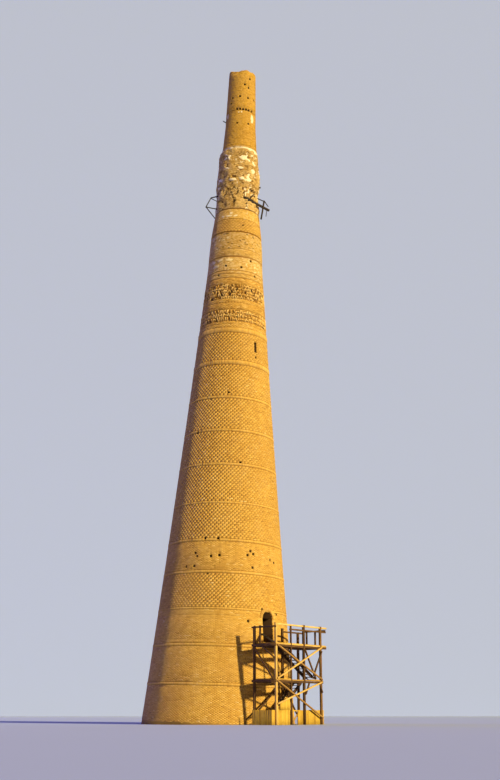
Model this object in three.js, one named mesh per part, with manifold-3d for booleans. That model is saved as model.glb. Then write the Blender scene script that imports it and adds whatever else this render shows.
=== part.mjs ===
// A leaning brick minaret with a ruined gallery and a broken top, and the wooden stair tower that
// leads to its raised door. It is a model at half scale: the lengths below are metres of the
// full-size tower, and metres() turns them into millimetres of the model.
// The origin is the middle of the tower's foot on the ground, +Z is up, and the tower leans to +X.
import * as THREE from "three";
import { mergeVertices } from "three/addons/utils/BufferGeometryUtils.js";
import Module from "manifold-3d";

const MODEL_SCALE = 0.5;
const MM_PER_METRE = 1000;
const GAP = 0.3; // millimetres left between pieces that touch
const metres = (value) => value * MM_PER_METRE * MODEL_SCALE;
const SEAT = GAP / metres(1); // the same gap in metres of the full-size tower

// Tower
const LEAN = THREE.MathUtils.degToRad(1.725);
const TOWER_HEIGHT = 60;
const SEGMENTS = 40;
const FOOT_RADIUS = 6.146;
const TAPER = -0.1035;
const TAPER_CURVE = 0.000249;
const UPPER_START = 39; // above this height the outline follows UPPER_OUTLINE
const UPPER_OUTLINE = [
  [39, 2.48], [40.42, 2.43], [42.38, 2.3], [43.41, 2.17], [44.87, 2.0], [46.85, 1.86], [47.47, 1.96],
  [48.73, 1.92], [49.99, 1.79], [50.62, 1.79], [51.26, 1.65], [51.57, 1.59], [52.79, 1.51], [53.9, 1.43],
  [55.82, 1.39], [57.1, 1.35], [60, 1.26],
];
const GROOVE_DEPTH = 0.05;
const GROOVE_HALF_HEIGHT = 0.05;
const BORE_AT_DOOR = 2.3;
const BORE_AT_TOP = 0.75;
const OUTLINE_CLEARANCE = 0.15; // outline points nearer than this to a drum's ends are left out

// Heights along the tower's axis where one stretch of the wall ends and the next begins
const FOOTING_DEPTH = 0.5; // how far the leaning drum runs down before it is cut level
const FOOTING_TOP = 2.86;
const GROUND_BLOCK = 20; // side of the block that cuts the foot level
const BELT_LEVELS = [11.5, 14.06, 17.15, 20.41, 23.36, 26.3, 29.51];
const PLAIN_TOP = 33.05;
const LOWER_RELIEF_TOP = 34.49;
const UPPER_RELIEF_TOP = 37.61;
const PALE_TOP = 39.71;
const PLASTER_TOP = 42.21;
const DIAMOND_TOP = 44.65;
const GALLERY_MIDDLE = 48.1;
const GALLERY_TOP = 51.36;
const LANTERN_TOP = 55.37;
const GALLERY_LOWER_POINTS = [45.3, 46.0, 47.0];
const GALLERY_UPPER_POINTS = [49.1];

// The ruined gallery's rough surface and the broken top
const ERODED_FROM = 44.95;
const ERODED_TO = 51.15;
const EROSION_DEPTH = 0.07;
const LEFT_BULGE = 0.08; // the gallery's remains stand out further on the -X side
const EROSION_WAVES = [ // share of the depth, waves round the tower, and turn per metre of height
  { share: 0.45, count: 3, turn: 1.7 },
  { share: 0.3, count: 7, turn: -2.3 },
  { share: 0.25, count: 13, turn: 4.1 },
];
const RIM_DROPS = [ // how far the broken top lies under the full height, evenly round from -Y towards +X
  0.4, 0.28, 0.4, 0.32, 0.3, 0.22, 0.35, 0.2, 0.42, 0.3,
  0.1, 0.28, 0.45, 0.2, 0.05, 0.12, 0.08, 0.22, 0.42, 0.52,
];
const RIM_BAND = 0.1; // points this close to the full height belong to the rim

// Door and slit window, seen from the tower's axis and turned from -Y towards +X
const DOOR_AZIMUTH = THREE.MathUtils.degToRad(42);
const DOOR_SILL = 6.22;
const DOOR_SPRING = 8.08;
const DOOR_WIDTH = 1.1;
const SLIT_AZIMUTH = THREE.MathUtils.degToRad(39);
const SLIT_SILL = 30.7;
const SLIT_HEAD = 31.7;
const SLIT_WIDTH = 0.28;
const CUT_START = 0.5; // radius from which the door and the slit are cut
const DOOR_CUT_LENGTH = 8;
const SLIT_CUT_LENGTH = 4;
const CURVE_SEGMENTS = 8;
const SILL_OVERCUT = 0.2;
const HEAD_OVERCUT = 0.1;
const HALF_REACH = 10; // of the blocks that split a ring in two

// Stair tower: x runs along its long side, y from its outer side to the minaret, z up
const STAIR_AZIMUTH = THREE.MathUtils.degToRad(48);
const STAIR_WIDTH = 2.1;
const STAIR_STANDOFF = 0.68; // from the inner posts to the nearest point of the wall
const DOOR_LEVEL = 6.4;
const POST = 0.17;
const THIN_POST = 0.12;
const RAIL = 0.12;
const BRACE = 0.12;
const BEAM_HEIGHT = 0.24;
const END_BEAM_HEIGHT = 0.2;
const BEAM_WIDTH = 0.1;
const BOARD = 0.06;
const DECK_TOP = 5.93;
const MID_TOP = 3.32;
const FRONT_POSTS = [-3.14, -1.35, 0.25, 2.38];
const BACK_POSTS = [-3.14, 0.25, 2.23];
const POST_TOP = 7.35;
const BACK_POST_TOPS = [7.1, 7.2, 7.0];
const TOP_RAIL = 7.25;
const SECOND_RAIL = 6.94;
const END_RAIL = 7.08;
const DECK_START = -3.19;
const DECK_END = 3.07;
const DECK_BEAM_END = 3.12;
const TOP_RAIL_END = 3.17;
const SECOND_RAIL_START = -1.45;
const THIN_POST_TOP = 7.25;
const BEAM_REACH = 0.25; // of the middle beams past the last post
const END_REACH = 0.12; // of the end beams past the frames
const LEFT_BALUSTERS = [1.41, 1.95];
const RIGHT_BALUSTERS = [1.05, 1.9];
const BASE_TOP = 1.07;
const BASE_START = -3.56;
const BASE_END = 2.8;
const ENTRY = { start: -1.19, end: -0.47, top: 0.96 };
const ENTRY_PLANK = { start: [-1.19, 0], end: [-0.42, 0.85], width: 0.12, thickness: 0.04 };
const TREAD = 0.05;
const TREAD_SETBACK = 0.75; // share of the going from a riser to its tread's edge
const TREAD_LENGTH = 1.1; // share of the going
const STRINGER = 0.06;
const STRINGER_DEPTH = 0.32;
const SIDE_CLEARANCE = 0.12;
const BEARING = 0.02; // how far floors reach past the middle of the beams that carry them
const MID_BOARDS_END = -1.28;
const HOLE_END = 0.97; // of the stair's opening in the upper deck
const HOLE_FAR = 1.0;
const BRIDGE = { start: -1.18, end: 0.02, near: 1.55 };
const LEANING_PLANK = { foot: [-2.6, 0.55, 5.9], head: [-1.2, 3.1, 6.83], width: 0.28, thickness: 0.05 };
const PANEL = { width: 1.15, low: 1.57, high: 1.93 };
const BOARDING = 0.045;
const CUTTER_EXTRA = 1; // how far cutters run past what they cut
const WALL_CUTTER_DROP = 1.5;
const WALL_OVERLAP = 0.5;

// Ends of the braces, as x and z in the frame's plane
const UPPER_PROPS = [[[0.25, 5.5], [1.55, 3.37]], [[2.38, 5.45], [1.28, 3.6]]];
const LOWER_PROPS = [[[0.72, 3.05], [0.25, 2.2]], [[2.0, 3.14], [2.38, 2.35]]];
const LOWER_BRACE_FEET = { left: 1.5, right: 0.5 };
const BACK_BRACE_FOOT = 0.6;
const END_BRACE = { near: 0.05, far: 1.3, foot: 4.8 };

const BRICK = new THREE.MeshStandardMaterial({ color: 0xc8963f, roughness: 0.92, metalness: 0 });
const PALE_BRICK = new THREE.MeshStandardMaterial({ color: 0xd9b878, roughness: 0.92, metalness: 0 });
const ERODED_BRICK = new THREE.MeshStandardMaterial({ color: 0xb5854a, roughness: 0.95, metalness: 0 });
const RELIEF_BRICK = new THREE.MeshStandardMaterial({ color: 0xa8743a, roughness: 0.92, metalness: 0 });
const OLD_WOOD = new THREE.MeshStandardMaterial({ color: 0x4a3320, roughness: 0.85, metalness: 0 });
const NEW_WOOD = new THREE.MeshStandardMaterial({ color: 0xc99a4c, roughness: 0.75, metalness: 0 });
const BOARD_WOOD = new THREE.MeshStandardMaterial({ color: 0xbd8f2e, roughness: 0.8, metalness: 0 });

const wasm = await Module();
wasm.setup();

// Closed solids from geometries, and back

function signedVolume(geometry) {
  const position = geometry.getAttribute("position");
  const index = geometry.getIndex();
  const [a, b, c] = [new THREE.Vector3(), new THREE.Vector3(), new THREE.Vector3()];
  let volume = 0;
  for (let i = 0; i < index.count; i += 3) {
    a.fromBufferAttribute(position, index.getX(i));
    b.fromBufferAttribute(position, index.getX(i + 1));
    c.fromBufferAttribute(position, index.getX(i + 2));
    volume += a.dot(b.cross(c)) / 6;
  }
  return volume;
}

function toSolid(geometry) {
  const plain = geometry.clone();
  plain.deleteAttribute("normal");
  plain.deleteAttribute("uv");
  const merged = mergeVertices(plain, 0.01);
  const triVerts = Uint32Array.from(merged.getIndex().array);
  if (signedVolume(merged) < 0) triVerts.reverse();
  const vertProperties = Float32Array.from(merged.getAttribute("position").array);
  return new wasm.Manifold(new wasm.Mesh({ numProp: 3, vertProperties, triVerts }));
}

function toGeometry(solid) {
  const mesh = solid.getMesh();
  const geometry = new THREE.BufferGeometry();
  geometry.setAttribute("position", new THREE.BufferAttribute(Float32Array.from(mesh.vertProperties), 3));
  geometry.setIndex(new THREE.BufferAttribute(Uint32Array.from(mesh.triVerts), 1));
  geometry.computeVertexNormals();
  return geometry;
}

const fuse = (solids) => solids.reduce((whole, solid) => whole.add(solid));
const carve = (solid, tools) => tools.reduce((rest, tool) => rest.subtract(tool), solid);

function piece(name, solid, material) {
  const mesh = new THREE.Mesh(toGeometry(solid), material);
  mesh.name = name;
  return mesh;
}

// A box between two corners
function block(low, high) {
  const size = high.map((value, axis) => metres(value - low[axis]));
  const middle = high.map((value, axis) => metres((value + low[axis]) / 2));
  return toSolid(new THREE.BoxGeometry(...size).translate(...middle));
}

// A squared timber between two points; across lies in the frame's plane, through passes the plane
function timber(from, to, across, through, lengthen = 0) {
  const start = new THREE.Vector3(...from.map(metres));
  const end = new THREE.Vector3(...to.map(metres));
  const along = end.clone().sub(start);
  const length = along.length() + metres(lengthen);
  along.normalize();
  const plane = Math.abs(along.y) > 0.9 ? new THREE.Vector3(1, 0, 0) : new THREE.Vector3(0, 1, 0);
  const side = plane.clone().cross(along).normalize();
  plane.crossVectors(along, side);
  const geometry = new THREE.BoxGeometry(metres(across), metres(through), length);
  geometry.applyMatrix4(new THREE.Matrix4().makeBasis(side, plane, along));
  geometry.translate(...start.add(end).multiplyScalar(0.5));
  return toSolid(geometry);
}

// Tower wall

function towerRadius(height) {
  if (height <= UPPER_START) return FOOT_RADIUS + TAPER * height + TAPER_CURVE * height ** 2;
  const after = UPPER_OUTLINE.findIndex(([level]) => level >= height);
  const [lowLevel, lowRadius] = UPPER_OUTLINE[after - 1];
  const [highLevel, highRadius] = UPPER_OUTLINE[after];
  return THREE.MathUtils.mapLinear(height, lowLevel, highLevel, lowRadius, highRadius);
}

const boreRadius = (height) =>
  THREE.MathUtils.mapLinear(height, DOOR_SILL, TOWER_HEIGHT, BORE_AT_DOOR, BORE_AT_TOP);

// Heights where the outline of a drum has a point, with a groove at both ends of the drum
function outlineHeights(from, to, grooves) {
  const inner = UPPER_OUTLINE.map(([level]) => level)
    .filter((level) => level > from + OUTLINE_CLEARANCE && level < to - OUTLINE_CLEARANCE);
  if (!grooves) return [from, ...inner, to];
  return [from, from + GROOVE_HALF_HEIGHT, ...inner, to - GROOVE_HALF_HEIGHT, to];
}

// A drum of the wall round the tower's axis, with a bore unless it is solid
function drum({ from, to, solid = false, grooves = true, proud = 0, extra = [] }) {
  const heights = outlineHeights(from, to, grooves).concat(extra).sort((a, b) => a - b);
  const outline = heights.map((height) => {
    const recess = grooves && (height === from || height === to) ? GROOVE_DEPTH : 0;
    return new THREE.Vector2(metres(towerRadius(height) - recess) + proud, metres(height));
  });
  outline[0].y += GAP / 2;
  outline[outline.length - 1].y -= GAP / 2;
  const bottom = outline[0].y;
  const top = outline[outline.length - 1].y;
  const inside = solid
    ? [new THREE.Vector2(0, top), new THREE.Vector2(0, bottom)]
    : [new THREE.Vector2(metres(boreRadius(to)), top), new THREE.Vector2(metres(boreRadius(from)), bottom)];
  const profile = solid ? [inside[1], ...outline, inside[0]] : [...outline, ...inside, outline[0].clone()];
  return new THREE.LatheGeometry(profile, SEGMENTS).rotateX(Math.PI / 2);
}

// Rough waves round the eroded wall; whole numbers of waves keep the ring closed
function erosion(angle, height) {
  return EROSION_WAVES.reduce((sum, { share, count, turn }) =>
    sum + share * Math.sin(count * angle + turn * height), 0);
}

function erode(geometry) {
  const position = geometry.getAttribute("position");
  for (let i = 0; i < position.count; i += 1) {
    const [x, y, z] = [position.getX(i), position.getY(i), position.getZ(i)];
    const height = z / metres(1);
    if (Math.hypot(x, y) < metres((towerRadius(height) + boreRadius(height)) / 2)) continue;
    const angle = Math.atan2(y, x);
    const inner = height > ERODED_FROM && height < ERODED_TO ? 1 : 0;
    const bulge = inner * LEFT_BULGE * Math.max(0, -Math.cos(angle));
    const scale = 1 + (inner * EROSION_DEPTH * erosion(angle, height) + bulge) / towerRadius(height);
    position.setXY(i, x * scale, y * scale);
  }
  return geometry;
}

// How far the broken top lies under the full height at a turn from -Y towards +X
function rimDrop(turn) {
  const place = THREE.MathUtils.euclideanModulo(turn / (2 * Math.PI), 1) * RIM_DROPS.length;
  const before = Math.floor(place) % RIM_DROPS.length;
  const after = (before + 1) % RIM_DROPS.length;
  return THREE.MathUtils.lerp(RIM_DROPS[before], RIM_DROPS[after], place - Math.floor(place));
}

function breakRim(geometry) {
  const position = geometry.getAttribute("position");
  for (let i = 0; i < position.count; i += 1) {
    if (position.getZ(i) < metres(TOWER_HEIGHT - RIM_BAND)) continue;
    const turn = Math.atan2(position.getX(i), -position.getY(i));
    position.setZ(i, position.getZ(i) - metres(rimDrop(turn)));
  }
  return geometry;
}

// A cutter that runs out from the axis at an azimuth, from a start radius
function radial(shape, azimuth, start, length, floor) {
  const settings = { depth: metres(length), bevelEnabled: false, curveSegments: CURVE_SEGMENTS };
  const geometry = new THREE.ExtrudeGeometry(shape, settings);
  geometry.rotateX(Math.PI / 2);
  geometry.translate(0, -metres(start), metres(floor));
  geometry.rotateZ(azimuth);
  return toSolid(geometry);
}

function archShape(width, spring) {
  const half = metres(width) / 2;
  const shape = new THREE.Shape();
  shape.moveTo(-half, -metres(SILL_OVERCUT));
  shape.lineTo(half, -metres(SILL_OVERCUT));
  shape.lineTo(half, metres(spring));
  shape.absarc(0, metres(spring), half, 0, Math.PI, false);
  shape.closePath();
  return shape;
}

function slotShape(width, height) {
  const half = metres(width) / 2;
  const shape = new THREE.Shape();
  shape.moveTo(-half, 0);
  shape.lineTo(half, 0);
  shape.lineTo(half, metres(height + HEAD_OVERCUT));
  shape.lineTo(-half, metres(height + HEAD_OVERCUT));
  shape.closePath();
  return shape;
}

// The half of the tower on one side of the upright plane through an azimuth; side is 1 or -1
function halfTower(azimuth, side) {
  const reach = metres(HALF_REACH);
  const geometry = new THREE.BoxGeometry(reach, 2 * reach, metres(2 * TOWER_HEIGHT));
  geometry.translate(side * (reach / 2 + GAP / 2), 0, 0).rotateZ(azimuth);
  return toSolid(geometry);
}

const leaning = new THREE.Group();
leaning.rotation.y = LEAN;

const doorShape = archShape(DOOR_WIDTH, DOOR_SPRING - DOOR_SILL);
const slitShape = slotShape(SLIT_WIDTH, SLIT_HEAD - SLIT_SILL);
const doorCut = radial(doorShape, DOOR_AZIMUTH, CUT_START, DOOR_CUT_LENGTH, DOOR_SILL);
const slitCut = radial(slitShape, SLIT_AZIMUTH, CUT_START, SLIT_CUT_LENGTH, SLIT_SILL);

// The foot is cut level with the ground, which the leaning drum meets at an angle
function footing() {
  const side = metres(GROUND_BLOCK);
  const below = new THREE.BoxGeometry(side, side, side).translate(0, 0, -side / 2).rotateY(-LEAN);
  const leaningDrum = toSolid(drum({ from: -FOOTING_DEPTH, to: FOOTING_TOP, solid: true, grooves: false }));
  return leaningDrum.subtract(toSolid(below));
}

const doorRing = toSolid(drum({ from: DOOR_SILL, to: DOOR_SPRING, grooves: false }));
const overDoor = toSolid(drum({ from: DOOR_SPRING, to: BELT_LEVELS[0] }));
const slitRing = toSolid(drum({ from: BELT_LEVELS.at(-1), to: SLIT_HEAD, grooves: false }));

leaning.add(
  piece("footing_drum", footing(), BRICK),
  piece("base_drum", toSolid(drum({ from: FOOTING_TOP, to: DOOR_SILL, solid: true })), BRICK),
  piece("wall_left_of_door", doorRing.intersect(halfTower(DOOR_AZIMUTH, -1)).subtract(doorCut), BRICK),
  piece("wall_right_of_door", doorRing.intersect(halfTower(DOOR_AZIMUTH, 1)).subtract(doorCut), BRICK),
  piece("wall_over_door", overDoor.subtract(doorCut), BRICK),
);

for (let belt = 1; belt < BELT_LEVELS.length; belt += 1) {
  const wall = drum({ from: BELT_LEVELS[belt - 1], to: BELT_LEVELS[belt] });
  leaning.add(piece(`belt_drum_${belt}`, toSolid(wall), BRICK));
}

leaning.add(
  piece("wall_left_of_slit", slitRing.intersect(halfTower(SLIT_AZIMUTH, -1)).subtract(slitCut), BRICK),
  piece("wall_right_of_slit", slitRing.intersect(halfTower(SLIT_AZIMUTH, 1)).subtract(slitCut), BRICK),
  piece("wall_above_slit", toSolid(drum({ from: SLIT_HEAD, to: PLAIN_TOP })), BRICK),
  piece("relief_band_lower", toSolid(drum({ from: PLAIN_TOP, to: LOWER_RELIEF_TOP })), RELIEF_BRICK),
  piece("relief_band_upper", toSolid(drum({ from: LOWER_RELIEF_TOP, to: UPPER_RELIEF_TOP })), RELIEF_BRICK),
  piece("pale_band", toSolid(drum({ from: UPPER_RELIEF_TOP, to: PALE_TOP })), PALE_BRICK),
  piece("plaster_band", toSolid(drum({ from: PALE_TOP, to: PLASTER_TOP })), PALE_BRICK),
  piece("diamond_band", toSolid(drum({ from: PLASTER_TOP, to: DIAMOND_TOP })), BRICK),
);

// Timber left standing in the ruined gallery, in the tower's own frame

const leftTimbers = [
  { from: [-1.3, -0.45, 46.74], to: [-2.49, -0.71, 46.24], size: 0.09 },
  { from: [-2.47, -0.7, 46.28], to: [-2.92, -0.92, 45.15], size: 0.08 },
  { from: [-2.93, -0.93, 45.19], to: [-1.5, -0.55, 45.14], size: 0.08 },
  { from: [-2.92, -0.92, 45.22], to: [-2.04, -0.81, 44.13], size: 0.08 },
  { from: [-2.48, -0.71, 46.19], to: [-1.45, -0.76, 45.66], size: 0.06 },
];
const rightTimbers = [
  { from: [0.55, -1.77, 45.88], to: [2.91, -0.3, 45.4], size: 0.2 },
  { from: [0.7, -1.73, 45.19], to: [1.45, -1.43, 46.41], size: 0.09 },
  { from: [1.2, -0.76, 46.6], to: [2.52, -0.75, 46.03], size: 0.08 },
  { from: [2.48, -0.75, 46.06], to: [2.82, -0.61, 45.63], size: 0.07 },
  { from: [2.42, -0.73, 46.14], to: [2.19, -0.87, 44.21], size: 0.15 },
  { from: [2.71, -0.46, 45.56], to: [2.64, -0.6, 44.64], size: 0.06 },
];
const rightStub = [{ from: [1.36, -0.33, 47.8], to: [2.06, -0.45, 47.63], size: 0.12 }];
const lanternStick = [{ from: [-1.01, -0.24, 54.18], to: [-1.69, -0.41, 54.53], size: 0.07 }];

function timbers(sticks, grow = 0) {
  return fuse(sticks.map(({ from, to, size }) => timber(from, to, size + grow, size + grow, grow)));
}

const pockets = [leftTimbers, rightTimbers, rightStub].map((sticks) => timbers(sticks, 2 * SEAT));
const galleryLower = toSolid(
  erode(drum({ from: DIAMOND_TOP, to: GALLERY_MIDDLE, extra: GALLERY_LOWER_POINTS })),
);
const galleryUpper = toSolid(
  erode(drum({ from: GALLERY_MIDDLE, to: GALLERY_TOP, grooves: false, extra: GALLERY_UPPER_POINTS })),
);
const lantern = toSolid(drum({ from: GALLERY_TOP, to: LANTERN_TOP }));
leaning.add(
  piece("gallery_ruin_lower", carve(galleryLower, pockets), ERODED_BRICK),
  piece("gallery_ruin_upper", galleryUpper, ERODED_BRICK),
  piece("lantern_drum", lantern.subtract(timbers(lanternStick, 2 * SEAT)), BRICK),
  piece("broken_top", toSolid(breakRim(drum({ from: LANTERN_TOP, to: TOWER_HEIGHT }))), BRICK),
  piece("gallery_timbers_left", timbers(leftTimbers), OLD_WOOD),
  piece("gallery_timbers_right", timbers(rightTimbers), OLD_WOOD),
  piece("gallery_stub_right", timbers(rightStub), OLD_WOOD),
  piece("lantern_stick_left", timbers(lanternStick), OLD_WOOD),
);

// Stair tower

const stairTower = new THREE.Group();
const stairReach = towerRadius(DOOR_LEVEL) + STAIR_STANDOFF + STAIR_WIDTH;
const axisAtDoor = Math.tan(LEAN) * DOOR_LEVEL;
stairTower.position.set(
  metres(axisAtDoor + stairReach * Math.sin(STAIR_AZIMUTH)),
  -metres(stairReach * Math.cos(STAIR_AZIMUTH)),
  0,
);
stairTower.rotation.z = STAIR_AZIMUTH;

const upright = (x, y, top, size = POST, foot = 0) => timber([x, y, foot], [x, y, top], size, size);
const lengthwise = (y, z, start, end, height = RAIL, width = RAIL) =>
  block([start, y - width / 2, z - height / 2], [end, y + width / 2, z + height / 2]);
const crosswise = (x, z, start, end, height = RAIL, width = RAIL) =>
  block([x - width / 2, start, z - height / 2], [x + width / 2, end, z + height / 2]);
const inFrame = (y, from, to, size = BRACE) => timber([from[0], y, from[1]], [to[0], y, to[1]], size, size);

const deckBeam = DECK_TOP - BOARD - BEAM_HEIGHT / 2;
const midBeam = MID_TOP - BOARD - BEAM_HEIGHT / 2;

const [firstPost, secondPost, thirdPost, lastPost] = FRONT_POSTS;
const frameStart = firstPost - POST / 2;
const midBeamEnd = lastPost + BEAM_REACH;

function frontFrame() {
  return fuse([
    upright(firstPost, 0, POST_TOP),
    upright(secondPost, 0, THIN_POST_TOP, THIN_POST),
    upright(thirdPost, 0, POST_TOP),
    upright(lastPost, 0, POST_TOP),
    lengthwise(0, deckBeam, frameStart, DECK_BEAM_END, BEAM_HEIGHT, BEAM_WIDTH),
    lengthwise(0, midBeam, frameStart, midBeamEnd, BEAM_HEIGHT, BEAM_WIDTH),
    lengthwise(0, TOP_RAIL, frameStart, TOP_RAIL_END),
    lengthwise(0, SECOND_RAIL, SECOND_RAIL_START, DECK_END),
  ]);
}

// Braces nailed on the outer faces of the front posts; those of one storey cross each other
const bracePlane = -(POST + BRACE) / 2 - SEAT;

function upperBraces() {
  return fuse([
    inFrame(bracePlane, [firstPost, MID_TOP], [lastPost, deckBeam]),
    inFrame(bracePlane, [firstPost, deckBeam], [lastPost, MID_TOP]),
    ...UPPER_PROPS.map(([head, foot]) => inFrame(bracePlane, head, foot)),
  ]);
}

function lowerBraces() {
  return fuse([
    inFrame(bracePlane, [firstPost, midBeam], [lastPost, LOWER_BRACE_FEET.right]),
    inFrame(bracePlane, [lastPost, midBeam], [firstPost, LOWER_BRACE_FEET.left]),
    ...LOWER_PROPS.map(([head, foot]) => inFrame(bracePlane, head, foot)),
  ]);
}

// The braces of the back frame are let into its posts
function backFrame() {
  const [first, middle, last] = BACK_POSTS;
  const y = STAIR_WIDTH;
  return fuse([
    ...BACK_POSTS.map((x, post) => upright(x, y, BACK_POST_TOPS[post])),
    lengthwise(y, deckBeam, frameStart, DECK_BEAM_END, BEAM_HEIGHT, BEAM_WIDTH),
    lengthwise(y, midBeam, frameStart, midBeamEnd, BEAM_HEIGHT, BEAM_WIDTH),
    lengthwise(y, SECOND_RAIL, middle, DECK_END),
    inFrame(y + POST / 2, [first, BACK_BRACE_FOOT], [middle, midBeam]),
    inFrame(y + POST / 2, [middle, midBeam], [last, BACK_BRACE_FOOT]),
  ]);
}

// Rails and crosspieces nailed on the outer faces of the end posts
function leftEndFrame() {
  const x = frameStart - RAIL / 2 - SEAT;
  const reach = STAIR_WIDTH + END_REACH;
  const balusters = LEFT_BALUSTERS.map((y) =>
    timber([x, y, deckBeam], [x, y, END_RAIL + THIN_POST], THIN_POST, THIN_POST));
  return fuse([
    crosswise(x, deckBeam, -END_REACH, reach, END_BEAM_HEIGHT),
    crosswise(x, midBeam, -END_REACH, reach, END_BEAM_HEIGHT),
    crosswise(x, END_RAIL, -END_REACH, reach),
    ...balusters,
    timber([x, END_BRACE.near, END_BRACE.foot], [x, END_BRACE.far, deckBeam], BRACE, BRACE),
    timber([x, END_BRACE.near, midBeam], [x, STAIR_WIDTH, deckBeam], BRACE, BRACE),
  ]);
}

// The rail across the deck's far end, on the crosspiece between the two long beams
function rightEndFrame() {
  const x = DECK_END + RAIL / 2 + SEAT;
  const start = BEAM_WIDTH / 2 + SEAT;
  const reach = STAIR_WIDTH - start;
  const balusters = RIGHT_BALUSTERS.map((y) =>
    timber([x, y, deckBeam], [x, y, END_RAIL], THIN_POST, THIN_POST));
  return fuse([
    crosswise(x, deckBeam, start, reach, END_BEAM_HEIGHT),
    crosswise(x, END_RAIL, start, reach),
    ...balusters,
  ]);
}

// Posts as cutters, wider than the posts by the gap, for the boards that are notched round them
function postCutters() {
  const wide = POST + 2 * SEAT;
  const front = FRONT_POSTS.map((x) => upright(x, 0, POST_TOP + CUTTER_EXTRA, wide));
  const back = BACK_POSTS.map((x) => upright(x, STAIR_WIDTH, POST_TOP + CUTTER_EXTRA, wide));
  return [...front, ...back];
}

// A floor of boards with its outline in x and y, notched round the posts
function floor(corners, top, hole) {
  const shape = new THREE.Shape(corners.map(([x, y]) => new THREE.Vector2(metres(x), metres(y))));
  if (hole) shape.holes.push(new THREE.Path(hole.map(([x, y]) => new THREE.Vector2(metres(x), metres(y)))));
  const geometry = new THREE.ExtrudeGeometry(shape, { depth: metres(BOARD - SEAT), bevelEnabled: false });
  geometry.translate(0, 0, metres(top - BOARD + SEAT));
  return carve(toSolid(geometry), postCutters());
}

const rectangle = (x0, y0, x1, y1) => [[x0, y0], [x1, y0], [x1, y1], [x0, y1]];

// Flights: the upper one runs down behind the outer frame, the lower one beside the back frame
const UPPER_FLIGHT = {
  top: -2.13, foot: 2.02, near: 0.15, far: 0.95, low: MID_TOP, high: DECK_TOP, rises: 13,
};
const LOWER_FLIGHT = {
  top: 1.42, foot: -2.63, near: 1.12, far: 1.92, low: 0, high: MID_TOP, rises: 16,
};
const STAIR_HOLE = rectangle(UPPER_FLIGHT.top, SIDE_CLEARANCE, HOLE_END, HOLE_FAR);

function flight({ top, foot, near, far, low, high, rises }) {
  const slope = (high - low) / (top - foot);
  const lift = (x) => low + slope * (x - foot);
  const stringers = [near, far - STRINGER].map((y) => {
    const shape = new THREE.Shape();
    shape.moveTo(metres(foot), metres(lift(foot)));
    shape.lineTo(metres(top), metres(lift(top)));
    shape.lineTo(metres(top), metres(lift(top) - STRINGER_DEPTH));
    shape.lineTo(metres(foot), metres(lift(foot) - STRINGER_DEPTH));
    shape.closePath();
    const geometry = new THREE.ExtrudeGeometry(shape, { depth: metres(STRINGER), bevelEnabled: false });
    geometry.rotateX(Math.PI / 2).translate(0, metres(y + STRINGER), 0);
    return toSolid(geometry);
  });
  const rise = (high - low) / rises;
  const going = (top - foot) / rises;
  const treads = Array.from({ length: rises - 1 }, (_, step) => {
    const level = low + rise * (step + 1);
    const edge = foot + going * (step + TREAD_SETBACK);
    const [start, end] = [edge, edge + going * TREAD_LENGTH].sort((a, b) => a - b);
    return block([start, near + STRINGER / 2, level - TREAD], [end, far - STRINGER / 2, level]);
  });
  const [start, end] = [top, foot].sort((a, b) => a - b);
  const room = block([start + SEAT, near, low + (low > 0 ? SEAT : 0)], [end - SEAT, far, high]);
  return fuse([...stringers, ...treads]).intersect(room);
}

// The minaret's wall with the gap added, turned into the stair tower's frame
function wallCutter() {
  const from = DOOR_SILL - WALL_CUTTER_DROP;
  const wall = drum({ from, to: DOOR_SPRING, grooves: false, solid: true, proud: GAP });
  wall.rotateY(LEAN);
  stairTower.updateMatrix();
  wall.applyMatrix4(stairTower.matrix.clone().invert());
  return toSolid(wall);
}

const wall = wallCutter();
const wallReach = STAIR_WIDTH + STAIR_STANDOFF + WALL_OVERLAP;

function doorBridge() {
  const near = [BRIDGE.start, BRIDGE.near, DECK_TOP + SEAT];
  const far = [BRIDGE.end, wallReach, DECK_TOP + BOARD];
  return carve(block(near, far), [wall, ...postCutters()]);
}

// A plank that lies on the deck with its foot and on the wall with its head
function leaningPlank() {
  const foot = new THREE.Vector3(...LEANING_PLANK.foot.map(metres));
  const head = new THREE.Vector3(...LEANING_PLANK.head.map(metres));
  const along = head.clone().sub(foot);
  const size = [LEANING_PLANK.width, LEANING_PLANK.thickness].map(metres);
  const geometry = new THREE.BoxGeometry(...size, along.length());
  const across = along.normalize().clone().cross(new THREE.Vector3(0, 0, 1)).normalize();
  geometry.applyMatrix4(new THREE.Matrix4().makeBasis(across, along.clone().cross(across), along));
  geometry.translate(...foot.add(head).multiplyScalar(0.5));
  const room = block([frameStart, 0, DECK_TOP + SEAT], [DECK_END, wallReach, POST_TOP]);
  return toSolid(geometry).intersect(room).subtract(wall);
}

const boardingNear = POST / 2 + SEAT;
const boardingFar = boardingNear + BOARDING;

function baseFront() {
  const boards = block([BASE_START, boardingNear, 0], [BASE_END, boardingFar, BASE_TOP]);
  return boards.subtract(block([ENTRY.start, 0, -CUTTER_EXTRA], [ENTRY.end, CUTTER_EXTRA, ENTRY.top]));
}

const baseSide = (x) =>
  block([x, boardingFar + SEAT, 0], [x + BOARDING, STAIR_WIDTH - SIDE_CLEARANCE, BASE_TOP]);

function sidePanel() {
  const right = secondPost - THIN_POST / 2 - SEAT;
  const left = right - PANEL.width;
  const shape = new THREE.Shape();
  shape.moveTo(metres(left), metres(BASE_TOP + SEAT));
  shape.lineTo(metres(right), metres(BASE_TOP + SEAT));
  shape.lineTo(metres(right), metres(PANEL.high));
  shape.lineTo(metres(left), metres(PANEL.low));
  shape.closePath();
  const geometry = new THREE.ExtrudeGeometry(shape, { depth: metres(BOARDING), bevelEnabled: false });
  geometry.rotateX(Math.PI / 2).translate(0, metres(boardingFar), 0);
  return toSolid(geometry);
}

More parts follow.
